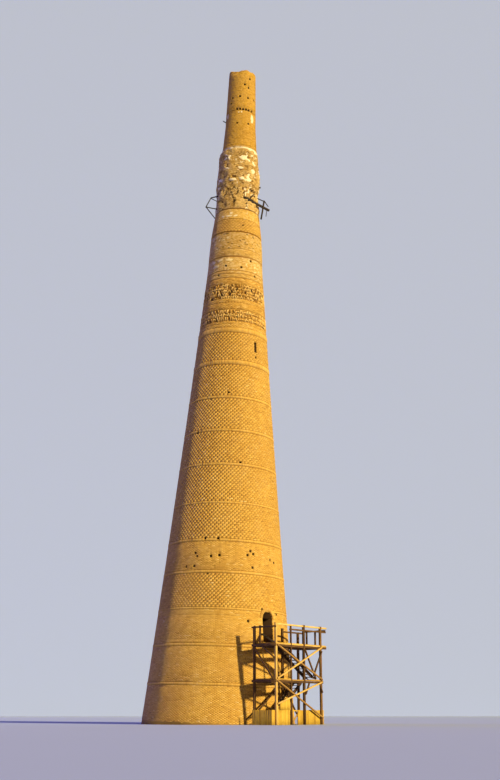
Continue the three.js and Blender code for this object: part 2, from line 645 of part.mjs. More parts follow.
function entryPlank() {
  const { start, end, width, thickness } = ENTRY_PLANK;
  const middle = (boardingNear + boardingFar) / 2;
  const plank = timber([start[0], middle, start[1]], [end[0], middle, end[1]], width, thickness);
  const room = block([ENTRY.start + SEAT, 0, 0], [ENTRY.end - SEAT, CUTTER_EXTRA, ENTRY.top - SEAT]);
  return plank.intersect(room);
}

const floorFar = STAIR_WIDTH + BEARING;
const deckOutline = rectangle(DECK_START, -BEARING, DECK_END, floorFar);
const landingOutline = rectangle(LOWER_FLIGHT.top, -BEARING, midBeamEnd, floorFar);
const midBoardsOutline = rectangle(DECK_START, -BEARING, MID_BOARDS_END, floorFar);

stairTower.add(
  piece("stair_front_frame", frontFrame(), NEW_WOOD),
  piece("stair_upper_braces", upperBraces(), NEW_WOOD),
  piece("stair_lower_braces", lowerBraces(), NEW_WOOD),
  piece("stair_back_frame", backFrame(), NEW_WOOD),
  piece("stair_left_end", leftEndFrame(), NEW_WOOD),
  piece("stair_right_end", rightEndFrame(), NEW_WOOD),
  piece("upper_deck", floor(deckOutline, DECK_TOP, STAIR_HOLE), BOARD_WOOD),
  piece("mid_landing", floor(landingOutline, MID_TOP), BOARD_WOOD),
  piece("mid_boards_left", floor(midBoardsOutline, MID_TOP), BOARD_WOOD),
  piece("upper_flight", flight(UPPER_FLIGHT), NEW_WOOD),
  piece("lower_flight", flight(LOWER_FLIGHT), NEW_WOOD),
  piece("door_bridge", doorBridge(), BOARD_WOOD),
  piece("door_plank", leaningPlank(), OLD_WOOD),
  piece("base_boards_front", baseFront(), BOARD_WOOD),
  piece("base_boards_left", baseSide(BASE_START), BOARD_WOOD),
  piece("base_boards_right", baseSide(BASE_END - BOARDING), BOARD_WOOD),
  piece("side_panel", sidePanel(), BOARD_WOOD),
  piece("entry_plank", entryPlank(), NEW_WOOD),
);

const part = new THREE.Group();
part.add(leaning, stairTower);

export default part;
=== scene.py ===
import math
from functools import partial

import bpy
import numpy as np
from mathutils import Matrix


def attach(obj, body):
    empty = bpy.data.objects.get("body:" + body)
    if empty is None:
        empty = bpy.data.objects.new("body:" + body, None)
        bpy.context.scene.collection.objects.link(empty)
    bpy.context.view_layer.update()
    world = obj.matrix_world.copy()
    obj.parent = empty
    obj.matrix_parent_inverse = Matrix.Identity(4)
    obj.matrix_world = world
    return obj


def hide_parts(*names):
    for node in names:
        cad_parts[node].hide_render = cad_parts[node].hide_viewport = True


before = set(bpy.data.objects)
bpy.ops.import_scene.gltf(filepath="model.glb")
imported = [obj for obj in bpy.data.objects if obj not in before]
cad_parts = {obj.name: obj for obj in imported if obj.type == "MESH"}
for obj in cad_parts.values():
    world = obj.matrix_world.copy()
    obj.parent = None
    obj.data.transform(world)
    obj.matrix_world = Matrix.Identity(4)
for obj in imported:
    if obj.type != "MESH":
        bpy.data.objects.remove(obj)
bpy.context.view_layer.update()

MODEL_SCALE = 0.5
TURN = 2 * math.pi
UP = np.array([0, 0, 1.0])
rng = np.random.default_rng(1127)

# Tower
LEAN = math.radians(1.725)
TOWER_HEIGHT = 60.0
FOOT_RADIUS = 6.146
TAPER = -0.1035
TAPER_CURVE = 0.000249
UPPER_START = 39.0
UPPER_OUTLINE = np.array([
    (39, 2.48), (40.42, 2.43), (42.38, 2.3), (43.41, 2.17), (44.87, 2.0), (46.85, 1.86), (47.47, 1.96),
    (48.73, 1.92), (49.99, 1.79), (50.62, 1.79), (51.26, 1.65), (51.57, 1.59), (52.79, 1.51), (53.9, 1.43),
    (55.82, 1.39), (57.1, 1.35), (60, 1.26),
])
DOOR_SILL, DOOR_SPRING, DOOR_WIDTH = 6.22, 8.08, 1.1
DOOR_AZIMUTH = math.radians(42)
SLIT_SILL, SLIT_HEAD, SLIT_WIDTH = 30.7, 31.7, 0.28
SLIT_AZIMUTH = math.radians(39)
BORE_HEIGHTS, BORE_RADII = (DOOR_SILL, TOWER_HEIGHT), (2.3, 0.75)
PIECE_GAP = 0.0006

# Bricks
BRICK = 0.26
THICKNESS = 0.056
COURSE = 0.0835
JOINT = 0.014
BRICK_DEPTH = 0.12
SLOT = 0.06
POINTING = 0.004
SLOT_DEPTH = 0.015

# Stair tower, as in the frame: x along its long side, y from its outer side to the minaret
STAIR_AZIMUTH = math.radians(48)
STAIR_WIDTH, STAIR_STANDOFF = 2.1, 0.68
DOOR_LEVEL = 6.4
POST, THIN_POST, RAIL, BRACE = 0.17, 0.12, 0.12, 0.12
BEAM_HEIGHT, END_BEAM_HEIGHT, BEAM_WIDTH, BOARD = 0.24, 0.2, 0.1, 0.06
DECK_TOP, MID_TOP = 5.93, 3.32
FRONT_POSTS = (-3.14, -1.35, 0.25, 2.38)
BACK_POSTS = (-3.14, 0.25, 2.23)
POST_TOP, BACK_POST_TOPS = 7.35, (7.1, 7.2, 7.0)
TOP_RAIL, SECOND_RAIL, END_RAIL = 7.25, 6.94, 7.08
DECK_END, BEAM_REACH, END_REACH = 3.07, 0.25, 0.12
LEFT_BALUSTERS, RIGHT_BALUSTERS = (1.41, 1.95), (1.05, 1.9)
BASE_TOP, BASE_START, BASE_END = 1.07, -3.56, 2.8
ENTRY_START, ENTRY_END, ENTRY_TOP = -1.19, -0.47, 0.96
SIDE_CLEARANCE, BEARING = 0.12, 0.02
MID_BOARDS_END = -1.28
BRIDGE_START, BRIDGE_END, BRIDGE_NEAR = -1.18, 0.02, 1.55
BOARDING = 0.045
TREAD, STRINGER, STRINGER_DEPTH = 0.05, 0.06, 0.32
DECK_BEAM = DECK_TOP - BOARD - BEAM_HEIGHT / 2
MID_BEAM = MID_TOP - BOARD - BEAM_HEIGHT / 2


def tower_radius(height):
    """Radius of the wall's outer face at heights along the axis."""
    height = np.asarray(height, float)
    lower = FOOT_RADIUS + TAPER * height + TAPER_CURVE * height**2
    upper = np.interp(height, UPPER_OUTLINE[:, 0], UPPER_OUTLINE[:, 1])
    return np.where(height <= UPPER_START, lower, upper)


def bore_radius(height):
    return np.interp(height, BORE_HEIGHTS, BORE_RADII)


def on_axis_frame(azimuth, radius, height):
    """Points of the tower's own upright frame from azimuth, radius and height."""
    azimuth, radius, height = np.broadcast_arrays(azimuth, radius, height)
    return np.stack([radius * np.sin(azimuth), -radius * np.cos(azimuth), height], -1)


def in_tower(points):
    """From the tower's own frame, which leans, to the model. Nothing reaches below the ground."""
    x, y, z = points.T
    cosine, sine = math.cos(LEAN), math.sin(LEAN)
    upright = np.stack([x * cosine + z * sine, y, -x * sine + z * cosine], 1)
    upright[:, 2] = np.maximum(upright[:, 2], 0)
    return upright * MODEL_SCALE


def directions(azimuth):
    """Unit vectors outwards and across at an azimuth, in the tower's own frame."""
    sine, cosine = math.sin(azimuth), math.cos(azimuth)
    return np.array([sine, -cosine, 0]), np.array([cosine, sine, 0])


STAIR_REACH = float(tower_radius(DOOR_LEVEL)) + STAIR_STANDOFF + STAIR_WIDTH
STAIR_X = math.tan(LEAN) * DOOR_LEVEL + STAIR_REACH * math.sin(STAIR_AZIMUTH)
STAIR_Y = -STAIR_REACH * math.cos(STAIR_AZIMUTH)


def in_stairs(points):
    """From the stair tower's frame to the model."""
    x, y, z = points.T
    cosine, sine = math.cos(STAIR_AZIMUTH), math.sin(STAIR_AZIMUTH)
    turned = np.stack([STAIR_X + x * cosine - y * sine, STAIR_Y + x * sine + y * cosine, z], 1)
    return turned * MODEL_SCALE


def spread(points, size, seed):
    """Smooth noise from 0 to 1 with features about size across, the same on every run."""
    cell = np.asarray(points) / size + 1000.0
    base = np.floor(cell).astype(np.int64)
    part = cell - base
    part = part * part * (3 - 2 * part)
    total = np.zeros(len(base))
    for corner in np.ndindex(2, 2, 2):
        x, y, z = (base + corner).T
        mixed = (x * 73856093) ^ (y * 19349663) ^ (z * 83492791) ^ (seed * 2654435761)
        mixed = (mixed ^ (mixed >> 13)) * 1274126177 & 0x7FFFFFFF
        value = ((mixed ^ (mixed >> 16)) & 0xFFFF) / 0xFFFF
        total += value * np.prod(np.where(corner, part, 1 - part), axis=1)
    return total


# Meshes

class Mass:
    """Closed solids gathered for one mesh, each with its material slot, its tone and its grain."""

    def __init__(self):
        self.points, self.tones, self.grains, self.faces = [], [], [], []
        self.count = 0

    def add(self, points, faces, slot=0, tone=0.5, grain=None):
        points = np.asarray(points, float).reshape(-1, 3)
        self.points.append(points)
        self.tones.append(np.broadcast_to(np.asarray(tone, float), len(points)))
        self.grains.append(points if grain is None else np.asarray(grain, float))
        self.faces += [(np.asarray(group, np.int64) + self.count, slot) for group in faces]
        self.count += len(points)


def numbers(collection, name, kind, width):
    values = np.zeros(len(collection) * width, kind)
    collection.foreach_get(name, values)
    return values.reshape(-1, width) if width > 1 else values


def mesh_of(name, mass, place):
    """A Blender mesh of the gathered solids, moved to the model by place()."""
    points = place(np.concatenate(mass.points))
    sizes = np.concatenate([np.full(len(group), group.shape[1]) for group, _ in mass.faces])
    corners = np.concatenate([group.ravel() for group, _ in mass.faces])
    slots = np.concatenate([np.full(len(group), slot) for group, slot in mass.faces])
    mesh = bpy.data.meshes.new(name)
    mesh.vertices.add(len(points))
    mesh.vertices.foreach_set("co", points.ravel())
    mesh.loops.add(len(corners))
    mesh.loops.foreach_set("vertex_index", corners.astype(np.int32))
    mesh.polygons.add(len(sizes))
    mesh.polygons.foreach_set("loop_start", (np.cumsum(sizes) - sizes).astype(np.int32))
    mesh.polygons.foreach_set("material_index", slots.astype(np.int32))
    tone = mesh.attributes.new("tone", "FLOAT", "POINT")
    tone.data.foreach_set("value", np.concatenate(mass.tones).astype(np.float32))
    grain = mesh.attributes.new("grain", "FLOAT_VECTOR", "POINT")
    grain.data.foreach_set("vector", np.concatenate(mass.grains).astype(np.float32).ravel())
    mesh.update(calc_edges=True)
    mesh.validate()
    return mesh


def loft(mass, points, slot=0, tone=0.5, grain=None, looped=False):
    """A closed solid through rings of points, which lead round to the first ring or end flat."""
    rings, corners = points.shape[:2]
    ring, corner = np.indices((rings if looped else rings - 1, corners))
    above, beside = (ring + 1) % rings, (corner + 1) % corners
    sides = np.stack([ring * corners + corner, ring * corners + beside, above * corners + beside,
                      above * corners + corner], -1).reshape(-1, 4)
    last = np.arange(corners)[None] + (rings - 1) * corners
    ends = [] if looped else [np.arange(corners)[None, ::-1], last]
    mass.add(points, [sides, *ends], slot, tone, grain)


def placed(name, data):
    thing = bpy.data.objects.new(name, data)
    bpy.context.scene.collection.objects.link(thing)
    return thing


def finished(name, mass, place, materials, slot, *nodes):
    """Puts a piece in the scene, which stands for CAD nodes. Its slot is not used."""
    mesh = mesh_of(name, mass, place)
    for material in materials:
        mesh.materials.append(material)
    piece = placed(name, mesh)
    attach(piece, "root")
    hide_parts(*nodes)


BOX_FACES = np.array([
    (4, 6, 7, 5), (0, 1, 3, 2), (2, 3, 7, 6), (0, 4, 5, 1), (1, 5, 7, 3), (0, 2, 6, 4),
])


# Bricks as boxes round the axis: a dict of equally long arrays

UNEVEN, CHIP = 0.003, 0.004
RING_BRICK, RING_PROUD = 0.075, 0.008


def brick_set(left, right, low, high, front, tone, kind=0, depth=BRICK_DEPTH, shear=0.0):
    """Bricks from their azimuths, heights and outer radii. Kind 0 is brick and 1 mortar."""
    values = np.broadcast_arrays(left, right, low, high, front, tone, kind, depth, shear)
    names = ("left", "right", "low", "high", "front", "tone", "kind", "depth", "shear")
    return {name: np.array(value, float).ravel() for name, value in zip(names, values)}


def only(bricks, mask):
    return {name: values[mask] for name, values in bricks.items()}


def together(sets):
    return {name: np.concatenate([bricks[name] for bricks in sets]) for name in sets[0]}


def middles(bricks):
    """The azimuths and the heights of the bricks' middles."""
    return (bricks["left"] + bricks["right"]) / 2, (bricks["low"] + bricks["high"]) / 2


def turned_from(azimuth, centre):
    """Azimuths measured from a centre, between -pi and pi."""
    return (azimuth - centre + math.pi) % TURN - math.pi


def lay(mass, bricks):
    """Adds bricks to a mass, each with its outer corners a little off true."""
    def each(name):
        return bricks[name][:, None, None]

    count = len(bricks["left"])
    radius, azimuth, height = np.empty((3, count, 2, 2, 2))
    radius[:, 0], radius[:, 1] = each("front") - each("depth"), each("front")
    azimuth[:, :, 0], azimuth[:, :, 1] = each("left"), each("right")
    azimuth[..., 1] += each("shear")
    height[..., 0], height[..., 1] = each("low"), each("high")
    wobble = rng.normal(0, CHIP, (3, count, 2, 2, 2))[:, :, 1]
    radius[:, 1] += wobble[0]
    azimuth[:, 1] += wobble[1] / each("front")
    height[:, 1] += wobble[2] * 0.7
    faces = np.arange(count)[:, None, None] * 8 + BOX_FACES
    for kind in (0, 1):
        mass.faces.append((faces[bricks["kind"] == kind].reshape(-1, 4) + mass.count, kind))
    mass.add(on_axis_frame(azimuth, radius, height), [], tone=np.repeat(bricks["tone"], 8))


def brick_tones(count, middle=0.5, scatter=0.16):
    return np.clip(rng.normal(middle, scatter, count), 0, 1)


def courses(low, high, row_height, unit):
    """The rows and columns that fill a stretch: the number of each, then the steps from one to the next."""
    rows = max(1, round((high - low) / row_height))
    around = round(TURN * float(tower_radius((low + high) / 2)) / unit)
    row, column = np.indices((rows, around))
    return row, column, (high - low) / rows, TURN / around


def running_courses(low, high, proud=0.0, middle=0.5, length=BRICK):
    """Plain courses in running bond."""
    row, column, pitch, step = courses(low, high, COURSE, length + JOINT)
    left = (column + 0.5 * (row % 2)) * step + rng.normal(0, 0.02, row.shape) * step
    right = left + length / (length + JOINT) * step
    bottom = low + row * pitch + (pitch - THICKNESS) * 0.5
    front = tower_radius(bottom) + proud + rng.normal(0, UNEVEN, row.shape)
    return brick_set(left, right, bottom, bottom + THICKNESS, front, brick_tones(row.shape, middle))


def diamond_courses(low, high, unit=BRICK + SLOT, row_height=2 * COURSE, slot=SLOT, middle=0.5):
    """Rows of two courses, the upper one with open slots. Each row is half a unit on, in diamonds."""
    row, column, pitch, step = courses(low, high, row_height, unit)
    left = (column + 0.5 * (row % 2)) * step
    past_slot = left + (1 - (unit - slot) / unit) * step
    bottom = low + row * pitch
    bed = (pitch / 2 - THICKNESS) / 2
    radius = tower_radius(bottom)
    joint = JOINT / 2 / radius
    laid = [brick_set(start + joint, left + step - joint, foot + bed, foot + bed + THICKNESS,
                      radius + rng.normal(0, UNEVEN, row.shape), brick_tones(row.shape, middle))
            for start, foot in ((left, bottom), (past_slot, bottom + pitch / 2))]
    bedding = brick_set(left, left + step, bottom - bed, bottom + pitch / 2 + bed, radius - POINTING,
                        brick_tones(row.shape, 0.1, 0.06), kind=1)
    return together([bedding, *laid])


def soldier_ring(low, high):
    """A smooth band of bricks stood on end."""
    around = round(TURN * float(tower_radius(low)) / RING_BRICK)
    left = np.arange(around) * TURN / around
    front = tower_radius(low) + RING_PROUD + rng.normal(0, UNEVEN, around)
    return brick_set(left, left + TURN / around * 0.94, low + 0.004, high - 0.004, front,
                     brick_tones(around, 0.58, 0.08))


# What the wall is laid in: the grooved rings round its lower part, and the tops and kinds of what is above

WALL_FOOT = -0.33
DOUBLE_RINGS = [
    (2.81, 3.04, 0.03), (5.73, 5.96, 0.03), (8.55, 8.73, 0.03), (11.38, 11.62, 0.04), (13.94, 14.18, 0.04),
    (17.05, 17.24, 0.03), (20.28, 20.53, 0.04), (23.23, 23.49, 0.045), (26.18, 26.44, 0.05),
    (29.28, 29.72, 0.055), (32.28, 32.76, 0.05),
]
BELTS = ["plain", "plain", "plain", "diamond", "worn"] + 6 * ["diamond"]
UPPER_ZONES = [
    (33.29, "plain"), (33.37, "groove"), (34.45, "relief"), (34.53, "groove"), (35.14, "plain"),
    (35.18, "groove"), (35.52, "plain"), (36.95, "worn_relief"), (37.58, "plain"), (37.64, "groove"),
    (37.98, "plain"), (38.03, "groove"), (38.27, "plain"), (38.35, "groove"), (39.64, "pale"),
    (39.78, "deep"), (40.46, "plain"), (40.5, "groove"), (42.14, "flaked"), (42.28, "deep"),
    (43.5, "fine"), (43.56, "groove"), (44.58, "patchy"), (44.72, "deep"), (51.09, "ruin"),
    (53.9, "lantern"), (55.17, "smeared"), (55.27, "line"), (60.0, "lantern"),
]
RECESS = {
    "diamond": SLOT_DEPTH, "fine": SLOT_DEPTH, "groove": 0.07, "line": 0.07, "deep": 0.16, "relief": 0.07,
    "worn_relief": 0.1, "flaked": 0.03, "ruin": 0.09,
}
# A tone below zero paints bricks and faces near-black where they stand for holes, sockets, grooves and
# openings: painted shade.
PAINTED_HOLE_SHADE = -1.0


def wall_zones():
    """The stretches of the wall from its foot up: bottom, top and kind."""
    tops = []
    for (low, high, groove), belt in zip(DOUBLE_RINGS, BELTS):
        half = groove / 2
        tops += [(low - half, belt), (low + half, "groove"), (high - half, "ring"), (high + half, "groove")]
    tops += UPPER_ZONES
    bottoms = [WALL_FOOT] + [top for top, _ in tops]
    return [(bottom, top, kind) for bottom, (top, kind) in zip(bottoms, tops)]


ZONES = wall_zones()
EROSION_DEPTH, LEFT_BULGE = 0.07, 0.08
ERODED_FROM, ERODED_TO = 44.95, 51.15
RIM_DROPS = [
    0.4, 0.28, 0.4, 0.32, 0.3, 0.22, 0.35, 0.2, 0.42, 0.3, 0.1, 0.28, 0.45, 0.2, 0.05, 0.12, 0.08, 0.22,
    0.42, 0.52,
]


def erosion(azimuth, height):
    """How far the gallery's remains stand out from the outline, in waves and a bulge on the -X side."""
    angle = azimuth - math.pi / 2
    waves = (0.45 * np.sin(3 * angle + 1.7 * height) + 0.3 * np.sin(7 * angle - 2.3 * height)
             + 0.25 * np.sin(13 * angle + 4.1 * height))
    bulge = LEFT_BULGE * np.maximum(0, -np.cos(angle))
    ends = np.clip((height - ERODED_FROM + 0.2) / 0.4, 0, 1) * np.clip((ERODED_TO - height) / 0.3, 0, 1)
    return ends * (EROSION_DEPTH * waves + bulge)


def rim_height(azimuth):
    """The height of the broken top, straight between points evenly round from -Y towards +X."""
    points = np.linspace(0, TURN, len(RIM_DROPS) + 1)
    return TOWER_HEIGHT - np.interp(np.asarray(azimuth) % TURN, points, [*RIM_DROPS, RIM_DROPS[0]])


def ground_height(azimuth, radius):
    """The height along the leaning axis at which the wall meets the ground."""
    return radius * np.sin(azimuth) * math.tan(LEAN)


# Places seen in the photograph: azimuth in degrees, height, and width and height, halved for the patches

HOLE = 0.19
HOLE_DEPTH, SOCKET_DEPTH = 0.55, 0.4
HOLES = [
    (-7, 56.7), (26, 56.61), (60, 56.68), (-39, 56.63), (-44, 56.1), (11, 58.04), (28, 57.74),
    (34, 58.77), (-14, 53.82), (30, 53.84), (-17, 55.33), (-5, 55.33), (7, 55.3), (19, 55.33),
    (30, 55.3), (45, 55.33), (39, 30.23), (-3, 26.72), (-28, 26.18), (-43, 23.26), (14, 20.57),
    (-20, 14.17), (-7, 14.16), (-29, 12.98), (-27, 12.75), (-13, 12.72), (-5, 12.8), (25, 13.26),
    (22, 12.92), (28, 13.05), (49, 12.77), (55, 12.6), (-38, 11.93), (-29, 11.94), (27, 11.96),
    (-15, 11.36), (22, 7.74), (36, 8.73), (54, 8.47), (-20, 38.78), (12, 38.66), (33, 39.43),
    (67, 39.61), (43, 38.04), (-35, 37.92), (14, 42.89),
]
HIDDEN_ROWS = [7.78, 12.78, 20.47, 26.25, 38.96, 53.82, 55.33, 56.6]
SOCKETS = [
    (-35, 49.13, 0.16, 0.15), (-8, 48.92, 0.15, 0.15), (4, 48.63, 0.2, 0.12), (-52, 48.86, 0.18, 0.17),
    (-14, 47.95, 0.36, 0.17), (-41, 48.06, 0.26, 0.16), (-27, 47.79, 0.14, 0.13),
    (40, 47.73, 0.18, 0.14), (12, 48.07, 0.14, 0.12), (-31, 46.77, 0.22, 0.16), (-4, 46.72, 0.2, 0.14),
    (13, 46.77, 0.22, 0.15), (-46, 46.64, 0.18, 0.23), (18, 46.41, 0.14, 0.19), (32, 45.8, 0.2, 0.21),
    (-24, 46.54, 0.1, 0.44), (24, 46.59, 0.28, 0.11),
]
MORTAR_PATCHES = [
    (10, 49.97, 0.42, 0.25), (47, 49.73, 0.2, 0.32), (-42, 49.98, 0.2, 0.17), (4, 48.86, 0.41, 0.14),
    (-37, 48.85, 0.33, 0.13), (44, 48.71, 0.22, 0.31), (-15, 47.62, 0.36, 0.12), (5, 47.75, 0.3, 0.19),
    (29, 47.77, 0.34, 0.28), (-64, 47.75, 0.16, 0.36), (51, 46.42, 0.24, 0.13), (-39, 46.09, 0.1, 0.41),
    (-60, 41.75, 0.2, 0.21), (-56, 41.18, 0.2, 0.14), (-46, 41.9, 0.15, 0.12), (-40, 41.5, 0.14, 0.14),
    (-30, 41.45, 0.2, 0.1), (-20, 41.6, 0.12, 0.12), (-50, 40.8, 0.16, 0.12), (-52, 39.35, 0.3, 0.2),
    (-33, 39.4, 0.3, 0.16), (-15, 39.35, 0.3, 0.14), (-42, 38.9, 0.4, 0.18), (-37, 43.89, 0.2, 0.15),
    (-20, 43.86, 0.3, 0.12), (-4, 43.85, 0.26, 0.12), (-15, 44.12, 0.2, 0.14), (48, 54.6, 0.17, 0.55),
    (-60, 54.86, 0.08, 0.22), (2, 54.99, 0.12, 0.12), (-9, 54.99, 0.1, 0.1),
]
LEDGE, LEDGE_HALF = 51.05, 0.08


# Guessed ones on the side that the photograph doesn't show

for level in HIDDEN_ROWS:
    for azimuth in np.arange(95, 270, 38):
        HOLES.append((azimuth + rng.uniform(-8, 8), level + rng.uniform(-0.15, 0.15)))
for level in np.arange(46.5, 49.3, 0.62):
    for azimuth in np.arange(75, 290, 26):
        turn, middle = azimuth + rng.uniform(-9, 9), level + rng.uniform(-0.12, 0.12)
        SOCKETS.append((turn, middle, rng.uniform(0.12, 0.3), rng.uniform(0.12, 0.2)))
        if rng.random() < 0.45:
            patch = (rng.uniform(0.15, 0.4), rng.uniform(0.1, 0.26))
            MORTAR_PATCHES.append((turn + 12, level + rng.uniform(0, 0.8), *patch))


def trimmed(bricks, centre, half_width):
    """Bricks trimmed back from an opening, whose half width at heights is nothing where it ends."""
    half = half_width((bricks["low"] + bricks["high"]) / 2) / bricks["front"]
    left = turned_from(bricks["left"], centre)
    right = left + bricks["right"] - bricks["left"]
    hit = (half > 0) & (right > -half) & (left < half)
    on_left = hit & (left + right < 0)
    right = np.where(on_left, np.minimum(right, -half), right)
    left = np.where(hit & ~on_left, np.maximum(left, half), left)
    bricks = dict(bricks)
    bricks["left"] = np.where(hit, left + centre, bricks["left"])
    bricks["right"] = np.where(hit, right + centre, bricks["right"])
    return only(bricks, ~hit | (right - left > 0.04 / bricks["front"]))


def door_half_width(height):
    above = np.clip(height - DOOR_SPRING, 0, None)
    arch = np.sqrt(np.clip((DOOR_WIDTH / 2) ** 2 - above**2, 0, None))
    return np.where(height > DOOR_SILL - 0.03, arch, 0)


def slit_half_width(height):
    return np.where((height > SLIT_SILL - 0.03) & (height < SLIT_HEAD + 0.03), SLIT_WIDTH / 2, 0)


def box_half_width(middle, width, tall):
    return lambda height: np.where(np.abs(height - middle) < tall / 2 + THICKNESS / 3, width / 2, 0)


# Brick ornament: short strokes that stand out from a sunk ground

UNIT_COLUMNS, GROUND_SINK = 4, -0.06
SLANTS, LEVEL_STROKE = (0.0, 0.75, -0.75, 0.0), 3


def relief_band(low, high, rows, pitch, width, missing, middle):
    """Rows of raised strokes, upright, slanting either way or level, mirrored about each unit's middle."""
    radius = float(tower_radius((low + high) / 2))
    shape = (rows, 2 * round(TURN * radius / pitch / (2 * UNIT_COLUMNS)), UNIT_COLUMNS)
    step = TURN / (shape[1] * UNIT_COLUMNS)
    row, unit, column = np.indices(shape)
    kind = rng.integers(0, len(SLANTS), shape)
    kind[:, 1::2] = kind[:, ::2, ::-1]
    level = kind == LEVEL_STROKE
    slant = np.choose(kind, SLANTS) * step * np.where(unit % 2, -1, 1)
    centre = (unit * UNIT_COLUMNS + column + 0.5 + rng.uniform(-0.1, 0.1, shape)) * step
    cell = (high - low) / rows
    half = np.where(level, 0.5 * step, width / 2 / radius)
    tall = np.where(level, width, cell * rng.uniform(0.8, 0.98, shape))
    bottom = low + (row + 0.5) * cell - tall / 2 + rng.uniform(-0.02, 0.02, shape)
    front = tower_radius(bottom) + rng.uniform(-0.02, 0.012, shape)
    strokes = brick_set(centre - half - slant / 2, centre + half - slant / 2, bottom, bottom + tall, front,
                        brick_tones(shape, middle, 0.12), shear=slant)
    kept = rng.random(row.size) > missing
    # The sunk ground gets a low, dark tone: painted shade between the strokes.
    ground = running_courses(low, high, proud=GROUND_SINK, middle=0.16, length=0.2)
    return together([ground, only(strokes, kept)])


def worn_relief_band(low, high):
    """A worn belt of strokes over a ragged gap, where bricks have fallen out along its foot."""
    bricks = relief_band(low, high, rows=5, pitch=0.15, width=0.085, missing=0.12, middle=0.78)
    middle, _ = middles(bricks)
    ragged = spread(on_axis_frame(middle, bricks["front"], low), 0.3, 8)
    gap = np.where(ragged > 0.62, 0.1, -0.1) + rng.uniform(-0.03, 0.05, len(middle))
    # A few strokes are painted near-black: painted shade of holes in the belt.
    pits = rng.random(len(middle)) < 0.05
    bricks["tone"] = np.where(pits, PAINTED_HOLE_SHADE, bricks["tone"])
    return only(bricks, bricks["low"] > low + gap)


ARCH_SPAN, ARCH_FOOT, ARCH_RISE = 1.18, 45.15, 1.55
ARCH_LINE, LINE_DEPTH, RUIN_RADIUS = 0.08, 0.07, 1.9
TIMBER_SEAMS = [(15, 45.9, 56, 45.66, 0.14), (21, 45.15, 44, 46.4, 0.09)]


def on_arch_line(azimuth, height):
    """Where the outlines of the fallen gallery's pointed arches run, and the broken cornice over them."""
    across = azimuth * round(TURN * RUIN_RADIUS / ARCH_SPAN) / TURN + 0.3
    half = np.abs(across % 1 - 0.5) * 2
    arch = ARCH_FOOT + ARCH_RISE * (1 - half ** 2.2)
    steep = 1 + 2.2 * ARCH_RISE * half ** 1.2 / ARCH_SPAN
    cornice = ARCH_FOOT + ARCH_RISE + 0.12 + 0.14 * np.abs(across * 3 % 1 - 0.5)
    points = on_axis_frame(azimuth, RUIN_RADIUS, height)
    broken = spread(points.reshape(-1, 3), 0.4, 9).reshape(azimuth.shape)
    lined = (np.abs(height - arch) < ARCH_LINE * steep) | (np.abs(height - cornice) < ARCH_LINE)
    on_line = lined & (broken > 0.45)
    degrees = np.degrees(turned_from(azimuth, 0))
    for first, start, last, end, half in TIMBER_SEAMS:
        seam = np.interp(degrees, (first, last), (start, end))
        on_line = on_line | ((degrees > first) & (degrees < last) & (np.abs(height - seam) < half))
    return on_line


def ruin_courses(low, high):
    """Broken courses that stand out unevenly, with bricks gone, and left out along the lines of fallen
    arches, where the core behind is painted near-black as painted shade.
    """
    bricks = running_courses(low, high, middle=0.52, length=0.16)
    middle, height = middles(bricks)
    count = len(middle)
    points = on_axis_frame(middle, bricks["front"], height)
    lumps, chips = spread(points, 0.55, 3), spread(points, 0.2, 5)
    relief = (lumps - 0.55) * 0.12 + (chips - 0.5) * 0.07
    bricks["front"] = bricks["front"] + erosion(middle, height) + relief
    bricks["depth"] = np.full(count, 0.22)
    bricks["tone"] = np.clip(bricks["tone"] + (lumps - 0.5) * 0.5 + rng.normal(0, 0.16, count), 0, 1)
    dark = on_arch_line(middle, height) | (rng.random(count) < 0.03)
    return only(bricks, ~(dark | (chips > 0.88) & (lumps < 0.6)))


GROOVES = ("groove", "line", "deep")
SMALL_BRICKS, SMALL_BRICK = ("pale", "flaked", "patchy"), 0.17
MIDDLE_TONE = {
    "plain": 0.56, "worn": 0.5, "pale": 0.72, "flaked": 0.64, "patchy": 0.7, "lantern": 0.42,
    "smeared": 0.48,
}
SPECKS, SPECK_DEPTH = {"pale": 0.15, "flaked": 0.06, "patchy": 0.07, "worn": 0.015, "plain": 0.004}, 0.025
ORNAMENT = {
    "ring": soldier_ring, "diamond": diamond_courses, "worn_relief": worn_relief_band, "ruin": ruin_courses,
    "fine": partial(diamond_courses, unit=0.3, row_height=0.15, slot=0.05, middle=0.42),
    "relief": partial(relief_band, rows=3, pitch=0.17, width=0.092, missing=0.06, middle=0.8),
}


def zone_bricks(low, high, kind):
    """The bricks of a stretch. In plain ones, single bricks are sunk and painted near-black: painted shade
    of small holes.
    """
    if kind in ORNAMENT:
        return ORNAMENT[kind](low, high)
    length = SMALL_BRICK if kind in SMALL_BRICKS else BRICK
    bricks = running_courses(low, high, middle=MIDDLE_TONE[kind], length=length)
    dark = rng.random(len(bricks["front"])) < SPECKS.get(kind, 0)
    bricks["tone"] = np.where(dark, PAINTED_HOLE_SHADE, bricks["tone"])
    bricks["front"] = np.where(dark, bricks["front"] - SPECK_DEPTH, bricks["front"])
    return bricks


def wall_bricks():
    """Every brick of the wall's outer face, trimmed back from the openings and the broken top."""
    bricks = together([zone_bricks(*zone) for zone in ZONES if zone[2] not in GROOVES])
    bricks = trimmed(bricks, DOOR_AZIMUTH, door_half_width)
    bricks = trimmed(bricks, SLIT_AZIMUTH, slit_half_width)
    for degrees, height, width, tall in [(*hole, HOLE, HOLE) for hole in HOLES] + SOCKETS:
        bricks = trimmed(bricks, math.radians(degrees), box_half_width(height, width, tall))
    middle, height = middles(bricks)
    covered = patch_cover(middle, height) > 0.75
    bricks["front"] = np.minimum(bricks["front"], FOOT_RADIUS - 0.015)
    ground = ground_height(middle, bricks["front"])
    bricks["low"] = np.maximum(bricks["low"], ground)
    shown = (bricks["high"] > ground + 0.02) & (bricks["high"] < rim_height(middle) - 0.01)
    return only(bricks, shown & ~covered)


# The wall behind the bricks, with its mortar, its bore and the holes cut into it

